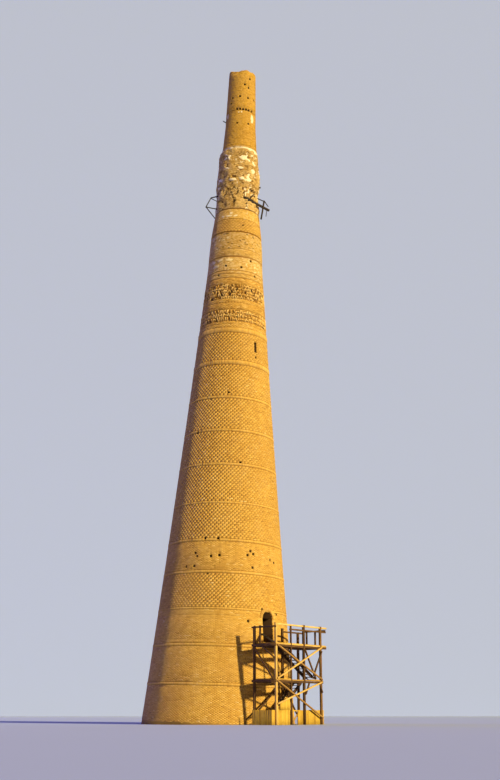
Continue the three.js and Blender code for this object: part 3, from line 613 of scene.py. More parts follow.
SMEARS = (("pale", -0.7, 1.4), ("patchy", -0.4, 1.0), ("flaked", -0.45, 1.0), ("ruin", -0.3, 1.3))
FINE_KINDS = ("pale", "flaked", "patchy", "ruin", "smeared")
FINE_STEP, COARSE_STEP = 0.06, 1.2
FINE_COLUMNS, COARSE_COLUMNS = 160, 128
PATCH_THICKNESS = 0.022
RIM_CLEARANCE = 0.03


def patch_cover(azimuth, height):
    """How much of the wall is smeared over with pale mortar, from 0 to 1."""
    shape = azimuth.shape
    radius = tower_radius(height)
    points = on_axis_frame(azimuth, radius, height).reshape(-1, 3)
    ragged = (spread(points, 0.3, 11).reshape(shape) + spread(points, 0.12, 12).reshape(shape)) / 2
    broad = spread(points, 0.8, 13).reshape(shape)
    cover = np.zeros(shape)
    for degrees, middle, half_width, half_height in MORTAR_PATCHES:
        across = np.abs(turned_from(azimuth, math.radians(degrees))) * radius / half_width
        up = np.abs(height - middle) / half_height
        inside = 1.0 - (across**3 + up**3) ** (1 / 3) + (ragged - 0.5) * 1.7
        cover = np.maximum(cover, np.clip(inside * 3, 0, 1))
    half = LEDGE_HALF * (1 + 0.5 * np.sin(azimuth))
    ledge = 1.1 - np.abs(height - LEDGE - 0.08 * (ragged - 0.5)) / half + (ragged - 0.5)
    cover = np.maximum(cover, np.clip(ledge * 2, 0, 1))
    for kind, share, contrast in SMEARS:
        low, high = next((start, end) for start, end, found in ZONES if found == kind)
        smear = share + (ragged - 0.5) * 2 * contrast + (broad - 0.5) * contrast
        within = (height > low) & (height < high)
        cover = np.maximum(cover, np.where(within, np.clip(smear * 2, 0, 1), 0))
    return cover


def wall_rows(low, high):
    """Heights, recesses and kinds of the core's rows of points, with one at each bend of the outline."""
    rows = []
    for start, end, kind in ZONES:
        start, end = max(start, low), min(end, high)
        if end - start < 0.01:
            continue
        steps = math.ceil((end - start) / (FINE_STEP if kind in FINE_KINDS else COARSE_STEP))
        bends = [level for level in UPPER_OUTLINE[:, 0] if start + 0.01 < level < end - 0.01]
        for level in sorted([*np.linspace(start + 0.001, end - 0.001, steps + 1), *bends]):
            rows.append((level, RECESS.get(kind, POINTING), kind))
    return rows


def weathered(azimuth, height, radius, recess, ruined):
    """Radii and tones of a finely divided core, smeared with mortar and broken into where it is ruined. Its
    sockets and arch lines are sunk and painted near-black: painted shade.
    """
    points = on_axis_frame(azimuth, radius, height).reshape(-1, 3)
    rough = spread(points, 0.35, 21).reshape(radius.shape)
    radius = radius + ruined * (erosion(azimuth, height) + (rough - 0.55) * 0.14)
    tone = patch_cover(azimuth, height)
    radius = radius + tone * (recess + PATCH_THICKNESS)
    for degrees, middle, width, tall in SOCKETS:
        across = np.abs(turned_from(azimuth, math.radians(degrees))) * radius
        inside = ruined & (across < width / 2) & (np.abs(height - middle) < tall / 2)
        radius = np.where(inside, tower_radius(height) - SOCKET_DEPTH, radius)
        # Painted shade: the sockets' faces are painted near-black.
        tone = np.where(inside, PAINTED_HOLE_SHADE, tone)
    tone = np.where(ruined & (tone < 0.1), -0.3, tone)
    # The arch lines are sunk and painted near-black: painted shade.
    lines = ruined & on_arch_line(azimuth, height)
    return np.where(lines, radius - LINE_DEPTH, radius), np.where(lines, PAINTED_HOLE_SHADE, tone)


def backing(low, high, bored):
    """The wall's core from low to high, as rings of points up its outer face and down its bore."""
    levels, recess, kinds = zip(*wall_rows(low, high))
    fine = any(kind in FINE_KINDS for kind in kinds)
    columns = FINE_COLUMNS if fine else COARSE_COLUMNS
    turns = np.arange(columns) * TURN / columns
    ruined = np.array([kind == "ruin" for kind in kinds])[:, None]
    recess = np.array(recess)[:, None]
    azimuth, height = np.broadcast_arrays(turns, np.array(levels)[:, None])
    height = np.clip(height, ground_height(azimuth, FOOT_RADIUS), rim_height(azimuth) - RIM_CLEARANCE)
    radius = tower_radius(height) - recess
    tone = np.zeros(radius.shape)
    if fine:
        radius, tone = weathered(azimuth, height, radius, recess, ruined)
    if bored:
        inner_levels = np.linspace(high, low, max(2, math.ceil(high - low) + 1))[:, None]
        inner_height = np.minimum(inner_levels, rim_height(turns) - RIM_CLEARANCE)
        inner = np.broadcast_to(bore_radius(inner_levels), inner_height.shape)
        radius, height = np.concatenate([radius, inner]), np.concatenate([height, inner_height])
        tone = np.concatenate([tone, np.zeros(inner.shape)])
    mass = Mass()
    loft(mass, on_axis_frame(turns, radius, height), 1, tone.ravel(), looped=bored)
    return mass


def prism(mass, outline, azimuth, start, end):
    """A cutter with an outline across and up, run out from the axis at an azimuth."""
    outline = np.array(outline)
    out, across = directions(azimuth)
    ends = [out * reach + outline[:, :1] * across + outline[:, 1:] * UP for reach in (start, end)]
    # The cut faces get the near-black tone and the hollow material: painted shade inside the door's passage,
    # the slit and the holes.
    loft(mass, np.array(ends), 2, PAINTED_HOLE_SHADE)


def rectangle(width, low, high):
    return [(-width / 2, low), (width / 2, low), (width / 2, high), (-width / 2, high)]


def arch(width, low, spring):
    turns = np.linspace(0, math.pi, 13)
    top = [(width / 2 * math.cos(turn), spring + width / 2 * math.sin(turn)) for turn in turns]
    return [(-width / 2, low), (width / 2, low), *top]


IN_BORE, PAST_DOOR, PAST_SLIT = 0.5, 8.5, 4.5


def cutters(low, high):
    """What is cut out of the wall between two heights."""
    mass = Mass()
    if low < DOOR_SPRING + DOOR_WIDTH and high > DOOR_SILL + 0.1:
        prism(mass, arch(DOOR_WIDTH, DOOR_SILL - 0.2, DOOR_SPRING), DOOR_AZIMUTH, IN_BORE, PAST_DOOR)
    if low < SLIT_HEAD - 0.1 and high > SLIT_SILL + 0.1:
        slit = rectangle(SLIT_WIDTH, SLIT_SILL - 0.2, SLIT_HEAD + 0.2)
        prism(mass, slit, SLIT_AZIMUTH, IN_BORE, PAST_SLIT)
    for degrees, height in HOLES:
        if low - HOLE / 2 < height < high + HOLE / 2:
            radius = float(tower_radius(height))
            prism(mass, rectangle(HOLE, height - HOLE / 2, height + HOLE / 2), math.radians(degrees),
                  radius - HOLE_DEPTH, radius + 0.3)
    return mass


def cut_out(mass, tools):
    """The mass with the tools cut away, as triangles."""
    body = placed("body", mesh_of("body", mass, np.asarray))
    tool = placed("tool", mesh_of("tool", tools, np.asarray))
    for mesh in (body.data, tool.data):
        for _ in range(3):
            mesh.materials.append(None)
    cut = body.modifiers.new("cut", "BOOLEAN")
    cut.operation, cut.solver, cut.object, cut.use_self = "DIFFERENCE", "EXACT", tool, True
    mesh = bpy.data.meshes.new_from_object(body.evaluated_get(bpy.context.evaluated_depsgraph_get()))
    mesh.calc_loop_triangles()
    result = Mass()
    tones = numbers(mesh.attributes["tone"].data, "value", np.float32, 1)
    triangles = numbers(mesh.loop_triangles, "vertices", np.int32, 3)
    slots = numbers(mesh.polygons, "material_index", np.int32, 1)
    slots = slots[numbers(mesh.loop_triangles, "polygon_index", np.int32, 1)]
    result.add(numbers(mesh.vertices, "co", np.float32, 3), [], 1, tones)
    result.faces = [(triangles[slots == slot], slot) for slot in (1, 2)]
    for thing in (body, tool):
        bpy.data.objects.remove(thing)
    bpy.data.meshes.remove(mesh)
    return result


def inner_rim_bricks(low, high):
    """Bricks through the wall's thickness under the broken top, where its courses show from above."""
    sets = []
    for inner in (0.02, 0.25):
        bricks = running_courses(low, high, length=0.2)
        count = len(bricks["low"])
        bricks["front"] = bore_radius(bricks["low"]) + inner + 0.2 + rng.normal(0, 0.01, count)
        bricks["depth"] = np.full(count, 0.2)
        limit = rim_height(middles(bricks)[0]) - rng.uniform(0.02, 0.15, count)
        sets.append(only(bricks, (bricks["high"] < limit) & (bricks["low"] > limit - 0.45)))
    return together(sets)


def door_arch(mass):
    """Bricks on end round the door's arch."""
    out, across = directions(DOOR_AZIMUTH)
    face = float(tower_radius(DOOR_SPRING))
    for turn in np.linspace(0.04, math.pi - 0.04, 26):
        ray = across * math.cos(turn) + UP * math.sin(turn)
        foot = out * (face - 0.05) + UP * DOOR_SPRING + ray * (DOOR_WIDTH / 2 + 0.005)
        swept(mass, [foot, foot + ray * BRICK], out, np.cross(ray, out), BRICK_DEPTH, THICKNESS,
              rng.uniform(0.4, 0.75))


# Timber: squared sticks and boards with worn edges

NAIL_HEAD, NAIL_HALF = 0.022, 0.004
BOARD_GAP, DECK_BOARD, BASE_BOARD = 0.008, 0.15, 0.17


def unit(vector):
    return vector / np.linalg.norm(vector)


def swept(mass, centres, side, up, width, depth, tone, chamfer=0.008, wear=0.03, slot=0):
    """A squared length through its centres, width along side and depth along up."""
    centres, side, up = np.array(centres, float), np.array(side, float), np.array(up, float)
    right, top, cut = width / 2, depth / 2, min(chamfer, width / 5, depth / 5)
    section = np.array([(right - cut, -top), (right, cut - top), (right, top - cut), (right - cut, top),
                        (cut - right, top), (-right, top - cut), (-right, cut - top), (cut - right, -top)])
    count, corners = len(centres), len(section)
    shrunk = section[None] * (1 - rng.uniform(0, wear, (count, corners, 1)))
    points = centres[:, None] + shrunk[..., :1] * side + shrunk[..., 1:] * up
    along = np.linalg.norm(centres - centres[0], axis=1)
    grain = np.concatenate([np.broadcast_to(along[:, None, None], (count, corners, 1)), shrunk], -1)
    grain = grain + rng.uniform(0, 40, 3)
    loft(mass, points, slot, tone, grain.reshape(-1, 3))


def stick(mass, start, end, across, through, tone=None, bow=0.0012, chamfer=0.008):
    """A timber between two points. Across lies in the frame's plane and through passes it."""
    start, end = np.array(start, float), np.array(end, float)
    length = np.linalg.norm(end - start)
    along = (end - start) / length
    side = unit(np.cross((1.0, 0, 0) if abs(along[1]) > 0.9 else (0, 1.0, 0), along))
    share = np.linspace(0, 1, max(2, math.ceil(length / 0.7) + 1))[:, None]
    bend = rng.normal(0, bow) * length * 4 * share * (1 - share)
    tone = float(np.clip(rng.normal(0.5, 0.17), 0, 1)) if tone is None else tone
    centres = start + (end - start) * share + side * bend
    swept(mass, centres, side, np.cross(along, side), across, through, tone, chamfer)


def nail(mass, point, normal):
    """A nail's head on a face."""
    point, normal = np.array(point, float), np.array(normal, float)
    side = UP if abs(normal[2]) < 0.5 else np.array([1.0, 0, 0])
    ends = [point - NAIL_HALF * normal, point + NAIL_HALF * normal]
    swept(mass, ends, side, np.cross(normal, side), NAIL_HEAD, NAIL_HEAD, 0.5, 0.006, 0, slot=1)


def slab(mass, outline, near, far, tone):
    """A board with an outline in x and z, from near to far in y."""
    points = np.array([[(x, y, z) for x, z in outline] for y in (far, near)])
    grain = points.reshape(-1, 3)[:, [2, 0, 1]] + rng.uniform(0, 40, 3)
    loft(mass, points, 0, tone, grain)


def board_edges(start, end, width):
    """The two edges of each of the boards that fill a stretch, with gaps between them."""
    marks = np.linspace(start, end, max(1, round((end - start) / width)) + 1)
    return [(low + BOARD_GAP / 2, high - BOARD_GAP / 2) for low, high in zip(marks, marks[1:])]


# The ruined gallery's timbers, in the tower's own frame: from, to and size

GALLERY_LEFT = [
    ((-1.3, -0.45, 46.74), (-2.49, -0.71, 46.24), 0.09),
    ((-2.47, -0.7, 46.28), (-2.92, -0.92, 45.15), 0.08),
    ((-2.93, -0.93, 45.19), (-1.5, -0.55, 45.14), 0.08),
    ((-2.92, -0.92, 45.22), (-2.04, -0.81, 44.13), 0.08),
    ((-2.48, -0.71, 46.19), (-1.45, -0.76, 45.66), 0.06),
]
GALLERY_RIGHT = [
    ((0.55, -1.77, 45.88), (2.91, -0.3, 45.4), 0.2), ((0.7, -1.73, 45.19), (1.45, -1.43, 46.41), 0.09),
    ((1.2, -0.76, 46.6), (2.52, -0.75, 46.03), 0.08), ((2.48, -0.75, 46.06), (2.82, -0.61, 45.63), 0.07),
    ((2.42, -0.73, 46.14), (2.19, -0.87, 44.21), 0.15), ((2.71, -0.46, 45.56), (2.64, -0.6, 44.64), 0.06),
]
GALLERY_STUB = [((1.36, -0.33, 47.8), (2.06, -0.45, 47.63), 0.12)]
LANTERN_STICK = [((-1.01, -0.24, 54.18), (-1.69, -0.41, 54.53), 0.07)]


def old_timbers(mass, sticks):
    """Weathered timbers, a little bent."""
    for start, end, size in sticks:
        stick(mass, start, end, size, size, bow=0.004, chamfer=size / 6)


# The stair tower, in its own frame

FIRST, SECOND, THIRD, LAST = FRONT_POSTS
FRAME_START = FIRST - POST / 2
# Tones of the stair timber that paint its light and shade: sunlit, half lit and shaded pieces of the same
# wood.
SUNLIT_WOOD, HALF_LIT_WOOD, SHADED_WOOD = 0.62, 0.15, -0.35
LEFT_END = FIRST - POST / 2 - RAIL / 2 - PIECE_GAP
RIGHT_END = DECK_END + RAIL / 2 + PIECE_GAP
BRACE_PLANE = -(POST + BRACE) / 2 - PIECE_GAP
# Braces with the tones that paint them sunlit, half lit or shaded.
UPPER_BRACES = [
    ((FIRST, MID_TOP), (LAST, DECK_BEAM), SUNLIT_WOOD), ((FIRST, DECK_BEAM), (LAST, MID_TOP), HALF_LIT_WOOD),
    ((THIRD, 5.5), (1.55, 3.37), SHADED_WOOD), ((LAST, 5.45), (1.28, 3.6), SHADED_WOOD),
]
LOWER_BRACES = [
    ((FIRST, MID_BEAM), (LAST, 0.5), HALF_LIT_WOOD), ((LAST, MID_BEAM), (FIRST, 1.5), SUNLIT_WOOD),
    ((0.72, 3.05), (THIRD, 2.2), SHADED_WOOD), ((2.0, MID_BEAM), (LAST, 2.35), SHADED_WOOD),
]
EDGE_BOARD, FOOT_GAP = 0.09, 0.004
FLOOR_START, FLOOR_NEAR, FLOOR_FAR = FIRST - 0.05, -BEARING, STAIR_WIDTH + BEARING
MID_END = LAST + BEAM_REACH
UPPER_FLIGHT = {
    "top": -2.13, "foot": 2.02, "near": 0.15, "far": 0.95, "low": MID_TOP, "high": DECK_TOP, "rises": 13,
}
LOWER_FLIGHT = {
    "top": 1.42, "foot": -2.63, "near": 1.12, "far": 1.92, "low": 0, "high": MID_TOP, "rises": 16,
}
WELL_END, WELL_NEAR = 0.97, SIDE_CLEARANCE
BASE_NEAR = POST / 2 + PIECE_GAP
BASE_FAR = BASE_NEAR + BOARDING
BASE_MIDDLE = (BASE_NEAR + BASE_FAR) / 2


def varied(tone):
    return tone + rng.uniform(-0.08, 0.08)


# Uprights are in the shaded tone unless given another: painted shade.
def upright(mass, x, y, top, size=POST, foot=0.0, tone=SHADED_WOOD):
    stick(mass, (x, y, foot), (x, y, top), size, size, varied(tone))


def lengthwise(mass, y, z, start, end, tone, height=RAIL, width=RAIL):
    stick(mass, (start, y, z), (end, y, z), height, width, varied(tone))


# Crosswise timbers are in the shaded tone: painted shade.
def crosswise(mass, x, z, start, end, height=RAIL):
    stick(mass, (x, start, z), (x, end, z), height, RAIL, varied(SHADED_WOOD))


def braces(mass, y, pairs, inward=1):
    """Braces nailed on a frame's face, each a little further in than the one before, with their tones."""
    for turn, (start, end, tone) in enumerate(pairs):
        depth = y + inward * 0.003 * (turn % 4)
        stick(mass, (start[0], depth, start[1]), (end[0], depth, end[1]), BRACE * 0.96, BRACE * 0.9,
              varied(tone))
        for x, z in (start, end):
            nail(mass, (x, y - inward * 0.044, z), (0, -inward, 0))


def front_frame(mass):
    """Posts, rails and beams, each beam with a pale edge board over its darker timber: painted light on the
    beam's top and painted shade under it.
    """
    upright(mass, FIRST, 0, POST_TOP, tone=SUNLIT_WOOD)
    upright(mass, SECOND, 0, POST_TOP - 0.1, THIN_POST)
    upright(mass, THIRD, 0, POST_TOP)
    upright(mass, LAST, 0, POST_TOP, tone=SHADED_WOOD + 0.25)
    rest = BEAM_HEIGHT - EDGE_BOARD - 0.004
    for level, end, tone in ((DECK_BEAM, DECK_END + 0.05, SUNLIT_WOOD), (MID_BEAM, MID_END, HALF_LIT_WOOD)):
        top, foot = level + BEAM_HEIGHT / 2, level - BEAM_HEIGHT / 2
        lengthwise(mass, 0, top - EDGE_BOARD / 2, FRAME_START, end, tone, EDGE_BOARD, BEAM_WIDTH)
        lengthwise(mass, 0, foot + rest / 2, FRAME_START, end, SHADED_WOOD, rest, BEAM_WIDTH - 0.01)
    lengthwise(mass, 0, TOP_RAIL, FRAME_START, DECK_END + 0.1, SUNLIT_WOOD)
    lengthwise(mass, 0, SECOND_RAIL, SECOND - 0.1, DECK_END, SHADED_WOOD)


def back_frame(mass):
    # The back frame's timbers are all in the shaded tone: painted shade.
    first, middle, last = BACK_POSTS
    for x, top in zip(BACK_POSTS, BACK_POST_TOPS):
        upright(mass, x, STAIR_WIDTH, top)
    for level, end in ((DECK_BEAM, DECK_END + 0.05), (MID_BEAM, MID_END)):
        lengthwise(mass, STAIR_WIDTH, level, FRAME_START, end, SHADED_WOOD, BEAM_HEIGHT, BEAM_WIDTH)
    lengthwise(mass, STAIR_WIDTH, SECOND_RAIL, middle, DECK_END, SHADED_WOOD)
    feet = [((first, 0.6), (middle, MID_BEAM), SHADED_WOOD), ((middle, MID_BEAM), (last, 0.6), SHADED_WOOD)]
    braces(mass, STAIR_WIDTH + POST / 2, feet, -1)


def left_end(mass):
    # The left end's timbers are in the shaded tone: painted shade.
    x = LEFT_END
    for z, height in ((DECK_BEAM, END_BEAM_HEIGHT), (MID_BEAM, END_BEAM_HEIGHT), (END_RAIL, RAIL)):
        crosswise(mass, x, z, -END_REACH, STAIR_WIDTH + END_REACH, height)
    for y in LEFT_BALUSTERS:
        upright(mass, x, y, END_RAIL + THIN_POST, THIN_POST, DECK_BEAM)
    outer, inner = x - 0.003, x + 0.004
    stick(mass, (inner, 0.05, 4.8), (inner, 1.3, DECK_BEAM), BRACE * 0.94, BRACE * 0.9, SHADED_WOOD)
    stick(mass, (outer, 0.05, MID_BEAM), (outer, STAIR_WIDTH, DECK_BEAM), BRACE * 0.96, BRACE * 0.92,
          SHADED_WOOD)
    for y in (0, STAIR_WIDTH):
        for z in (DECK_BEAM, MID_BEAM):
            nail(mass, (x - RAIL / 2, y, z), (-1, 0, 0))
    nail(mass, (x - RAIL / 2, 0, END_RAIL), (-1, 0, 0))


def right_end(mass):
    start = BEAM_WIDTH / 2 + PIECE_GAP
    crosswise(mass, RIGHT_END, DECK_BEAM, start, STAIR_WIDTH - start, END_BEAM_HEIGHT)
    crosswise(mass, RIGHT_END, END_RAIL, start, STAIR_WIDTH - start)
    for y in RIGHT_BALUSTERS:
        upright(mass, RIGHT_END, y, END_RAIL, THIN_POST, DECK_BEAM)
        nail(mass, (RIGHT_END + RAIL / 2, y, DECK_BEAM), (1, 0, 0))


def floor_boards(mass, top, start, end, near=FLOOR_NEAR):
    """Boards laid across the frames, side by side in x, with their nails."""
    for low, high in board_edges(start, end, DECK_BOARD):
        middle = (low + high) / 2
        ends = rng.uniform(0, 0.015, 2)
        level = top - BOARD / 2 - rng.uniform(0.001, 0.006)
        stick(mass, (middle, near + ends[0], level), (middle, FLOOR_FAR - ends[1], level), BOARD * 0.85,
              high - low, bow=0.0004, chamfer=0.005)
        for y in (near + 0.07, FLOOR_FAR - 0.07):
            nail(mass, (middle + rng.uniform(-0.03, 0.03), y, level + BOARD * 0.42), UP)


def upper_deck(mass):
    """The deck round the stairwell, with one board along the well's outer side."""
    well_start = UPPER_FLIGHT["top"]
    floor_boards(mass, DECK_TOP, FLOOR_START, well_start)
    floor_boards(mass, DECK_TOP, well_start, WELL_END, UPPER_FLIGHT["far"] + 0.05)
    floor_boards(mass, DECK_TOP, WELL_END, DECK_END)
    level, middle = DECK_TOP - BOARD / 2 - 0.004, (FLOOR_NEAR + WELL_NEAR) / 2
    stick(mass, (well_start, middle, level), (WELL_END, middle, level), BOARD * 0.85, WELL_NEAR - FLOOR_NEAR)


def flight(mass, top, foot, near, far, low, high, rises):
    """Two stringers and the treads between them."""
    slope = (high - low) / (top - foot)
    ends = np.linspace(min(top, foot) + 0.002, max(top, foot) - 0.002, 7)
    sides = near + STRINGER / 2, far - STRINGER / 2
    for y in sides:
        centres = [(x, y, low + slope * (x - foot) - STRINGER_DEPTH / 2) for x in ends]
        swept(mass, centres, (0, 1, 0), UP, STRINGER, STRINGER_DEPTH, rng.uniform(0.3, 0.7))
        mass.points[-1][:, 2] = np.clip(mass.points[-1][:, 2], low, high)
    rise, going = (high - low) / rises, (top - foot) / rises
    for step in range(rises - 1):
        level = low + rise * (step + 1) - TREAD / 2
        middle = foot + going * (step + 0.75) + going * 0.55
        stick(mass, *[(middle, y, level) for y in sides], TREAD * 0.9, abs(going) * 1.1, bow=0.0005,
              chamfer=0.01)


def door_bridge(mass):
    """Boards from the deck to the wall, each as long as the round wall leaves it."""
    level = DECK_TOP + BOARD / 2
    axis = STAIR_WIDTH + STAIR_STANDOFF + float(tower_radius(DOOR_LEVEL))
    for low, high in board_edges(BRIDGE_START, BRIDGE_END, 0.2):
        middle = (low + high) / 2
        reach = axis - math.sqrt(float(tower_radius(DECK_TOP)) ** 2 - middle**2) - 0.02
        near = BRIDGE_NEAR + rng.uniform(0, 0.03)
        stick(mass, (middle, near, level), (middle, reach, level), BOARD * 0.9, high - low)


def leaning_plank(mass):
    """A plank with its foot on the deck's edge and its head on the wall."""
    foot, head = np.array([-2.6, 0.55, 5.9]), np.array([-1.2, 3.1, 6.83])
    along = unit(head - foot)
    side = unit(np.cross(along, UP))
    centres = foot + (head - foot) * np.linspace(0.07, 0.92, 6)[:, None]
    swept(mass, centres, side, np.cross(side, along), 0.28, 0.05, 0.3)


def base_front(mass):
    """Upright boards nailed behind the front posts, and over the open doorway between them."""
    for start, end, foot in ((BASE_START, ENTRY_START, FOOT_GAP), (ENTRY_START, ENTRY_END, ENTRY_TOP),
                             (ENTRY_END, BASE_END, FOOT_GAP)):
        for low, high in board_edges(start, end, BASE_BOARD):
            middle, depth = (low + high) / 2, BASE_MIDDLE + rng.uniform(-0.004, 0.004)
            head = BASE_TOP - rng.uniform(0.0, 0.03)
            stick(mass, (middle, depth, foot), (middle, depth, head), high - low, BOARDING * 0.8,
                  bow=0.0006, chamfer=0.004)
            for z in (foot + 0.15, head - 0.15):
                nail(mass, (middle, depth - BOARDING * 0.4, z), (0, -1, 0))


def base_side(mass, x):
    for low, high in board_edges(BASE_FAR + PIECE_GAP, STAIR_WIDTH - SIDE_CLEARANCE, BASE_BOARD):
        middle, head = (low + high) / 2, BASE_TOP - rng.uniform(0, 0.03)
        stick(mass, (x, middle, FOOT_GAP), (x, middle, head), BOARDING * 0.85, high - low, bow=0.0006,
              chamfer=0.004)


def side_panel(mass):
    """Boards of a panel whose top slopes up towards the second post."""
    right = SECOND - THIN_POST / 2 - PIECE_GAP
    left, low, high = right - 1.15, 1.57, 1.93
    foot = BASE_TOP + PIECE_GAP
    for start, end in board_edges(left, right, 0.16):
        heads = [low + (high - low) * (x - left) / (right - left) - rng.uniform(0, 0.01)
                 for x in (start, end)]
        outline = [(start, foot), (end, foot), (end, heads[1]), (start, heads[0])]
        slab(mass, outline, BASE_NEAR + rng.uniform(0, 0.006), BASE_FAR, rng.uniform(0.4, 0.9))


def entry_plank(mass):
    foot, head = (ENTRY_START + 0.08, BASE_MIDDLE, 0.09), (ENTRY_END - 0.07, BASE_MIDDLE, 0.74)
    stick(mass, foot, head, 0.12, 0.038)


# Materials

# Near-black mixed into brick and mortar where the tone is below zero: painted shade of holes, sockets,
# grooves and openings.
HOLE_SHADE_COLOUR = (0.045, 0.022, 0.012)


def rgba(colour):
    return (*colour, 1)


class Look:
    """A material in the making: its node tree, its shader and the places on its object."""

    def __init__(self, name):
        self.material = bpy.data.materials.new(name)
        self.material.use_nodes = True
        self.tree = self.material.node_tree
        self.shader = self.tree.nodes["Principled BSDF"]
        self.place = self.node("TexCoord").outputs["Object"]

    def node(self, kind, inputs=(), **settings):
        """A node with its settings, and its inputs by name or number, from values or nodes' sockets."""
        node = self.tree.nodes.new("ShaderNode" + kind)
        for name, value in settings.items():
            setattr(node, name, value)
        for name, value in dict(inputs).items():
            if isinstance(value, bpy.types.NodeSocket):
                self.tree.links.new(value, node.inputs[name])
            else:
                node.inputs[name].default_value = value
        return node

    def attribute(self, name, output="Fac"):
        return self.node("Attribute", attribute_name=name).outputs[output]

    def stretched(self, vector, scale):
        return self.node("Mapping", {"Vector": vector, "Scale": scale}).outputs["Vector"]

    def noise(self, scale, detail, roughness=0.6, distortion=0.0, vector=None):
        inputs = {"Vector": self.place if vector is None else vector, "Scale": scale, "Detail": detail,
                  "Roughness": roughness, "Distortion": distortion}
        return self.node("TexNoise", inputs).outputs["Fac"]

    def maths(self, operation, first, second, clamp=False):
        return self.node("Math", {0: first, 1: second}, operation=operation, use_clamp=clamp).outputs[0]

    def spanned(self, value, low, high, to_low=0.0, to_high=1.0):
        inputs = {"Value": value, "From Min": low, "From Max": high, "To Min": to_low, "To Max": to_high}
        return self.node("MapRange", inputs).outputs["Result"]

    def ramp(self, factor, stops):
        node = self.node("ValToRGB", {"Fac": factor})
        elements = node.color_ramp.elements
        for position, _ in stops[2:]:
            elements.new(position)
        for element, (position, colour) in zip(elements, stops):
            element.position, element.color = position, rgba(colour)
        return node.outputs["Color"]

    def tinted(self, amount, colour, tint, kind="MULTIPLY"):
        inputs = {0: amount, 6: colour, 7: rgba(tint)}
        return self.node("Mix", inputs, data_type="RGBA", blend_type=kind).outputs[2]

    def complete(self, colour, roughness, heights, strength, distance, constants):
        """The material, with bumps from heights and their shares, the broad one first."""
        normal = {}
        for height, share in heights:
            inputs = {"Height": height, "Strength": strength * share, "Distance": distance, **normal}
            normal = {"Normal": self.node("Bump", inputs).outputs["Normal"]}
        for name, socket in {"Base Color": colour, "Roughness": roughness, **normal}.items():
            self.tree.links.new(socket, self.shader.inputs[name])
        for name, value in constants.items():
            self.shader.inputs[name].default_value = value
        return self.material


def fired_brick(name, stops, stain, stain_share, dust, dust_share):
    """Brick whose tone goes from brick to brick, with stains, streaks of rain, dust and pitted faces."""
    look = Look(name)
    tone, fine, pits = look.attribute("tone"), look.noise(70, 5), look.noise(240, 3)
    colour = look.ramp(look.maths("ADD", tone, look.spanned(fine, 0.3, 0.7, -0.13, 0.13)), stops)
    broad = look.spanned(look.noise(0.33, 6, 0.68, 0.4), 0.42, 0.66, 0, stain_share)
    streaks = look.noise(1.5, 6, 0.7, vector=look.stretched(look.place, (1.6, 1.6, 0.22)))
    powder = look.spanned(look.noise(1.7, 7, 0.7), 0.48, 0.7, 0, dust_share)
    colour = look.tinted(broad, colour, stain)
    colour = look.tinted(look.spanned(streaks, 0.5, 0.72, 0, 0.32), colour, stain)
    colour = look.tinted(powder, colour, dust, "MIX")
    colour = look.tinted(look.spanned(pits, 0.35, 0.6, 0.28, 0), colour, stain)
    # Tones below zero turn near-black: painted shade.
    colour = look.tinted(look.spanned(tone, -0.7, -0.1, 0.9, 0), colour, HOLE_SHADE_COLOUR, "MIX")
    return look.complete(colour, look.spanned(fine, 0.3, 0.7, 0.84, 0.98), [(fine, 1), (pits, 0.6)], 0.4,
                         0.001, {"Specular IOR Level": 0.25, "Diffuse Roughness": 0.3})


def lime_mortar(name, joint, lime, shade):
    """Mortar: dusty in the joints, where the tone is low, and pale where it is smeared over the wall."""
    look = Look(name)
    tone, lumps, grit = look.attribute("tone"), look.noise(9, 7, 0.65), look.noise(160, 4)
    ragged = look.maths("ADD", tone, look.spanned(lumps, 0.3, 0.7, -0.22, 0.22), True)
    between = tuple((a + b) / 2 for a, b in zip(joint, lime))
    colour = look.ramp(ragged, [(0.3, joint), (0.5, between), (0.8, lime)])
    colour = look.tinted(look.spanned(lumps, 0.45, 0.75, 0, 0.4), colour, shade)
    colour = look.tinted(look.spanned(grit, 0.3, 0.55, 0.3, 0), colour, shade)
    # Tones below zero turn near-black: painted shade.
    colour = look.tinted(look.spanned(tone, -0.8, -0.1, 0.95, 0), colour, HOLE_SHADE_COLOUR, "MIX")
    return look.complete(colour, look.spanned(grit, 0.3, 0.7, 0.88, 1.0), [(lumps, 1), (grit, 0.3)], 0.5,
                         0.003, {"Specular IOR Level": 0.2, "Diffuse Roughness": 0.3})


def sawn_wood(name, stops, stain, stain_share):
    """Sawn wood with its grain along each piece, knots and rain stains."""
    look = Look(name)
    grain, tone = look.attribute("grain", "Vector"), look.attribute("tone")
    fibres = look.noise(1.6, 7, 0.62, 0.5, look.stretched(grain, (1.2, 42, 42)))
    bands = look.noise(1.3, 4, 0.55, 0.9, look.stretched(grain, (0.5, 9, 9)))
    cells = look.node("TexVoronoi", {"Vector": look.stretched(grain, (1.1, 5, 5)), "Scale": 1.0})
    shown = look.maths("ADD", look.maths("MULTIPLY", tone, 0.55), look.maths("MULTIPLY", bands, 0.45))
    shown = look.maths("ADD", shown, look.spanned(fibres, 0.3, 0.7, -0.2, 0.2))
    colour = look.ramp(shown, stops)
    colour = look.tinted(look.spanned(cells.outputs["Distance"], 0.06, 0.16, 0.8, 0), colour, stain)
    weather = look.spanned(look.noise(1.8, 6, 0.7), 0.44, 0.68, 0, stain_share)
    colour = look.tinted(weather, colour, stain)
    return look.complete(colour, look.spanned(fibres, 0.3, 0.7, 0.62, 0.9), [(bands, 0.5), (fibres, 1)],
                         0.5, 0.0015, {"Specular IOR Level": 0.35})


def rusty_iron():
    look = Look("rusty_iron")
    scale = look.noise(300, 5)
    colour = look.ramp(scale, [(0.35, (0.05, 0.03, 0.02)), (0.65, (0.2, 0.09, 0.04))])
    return look.complete(colour, look.spanned(scale, 0.3, 0.7, 0.55, 0.9), [(scale, 1)], 0.4, 0.001,
                         {"Metallic": 0.4})


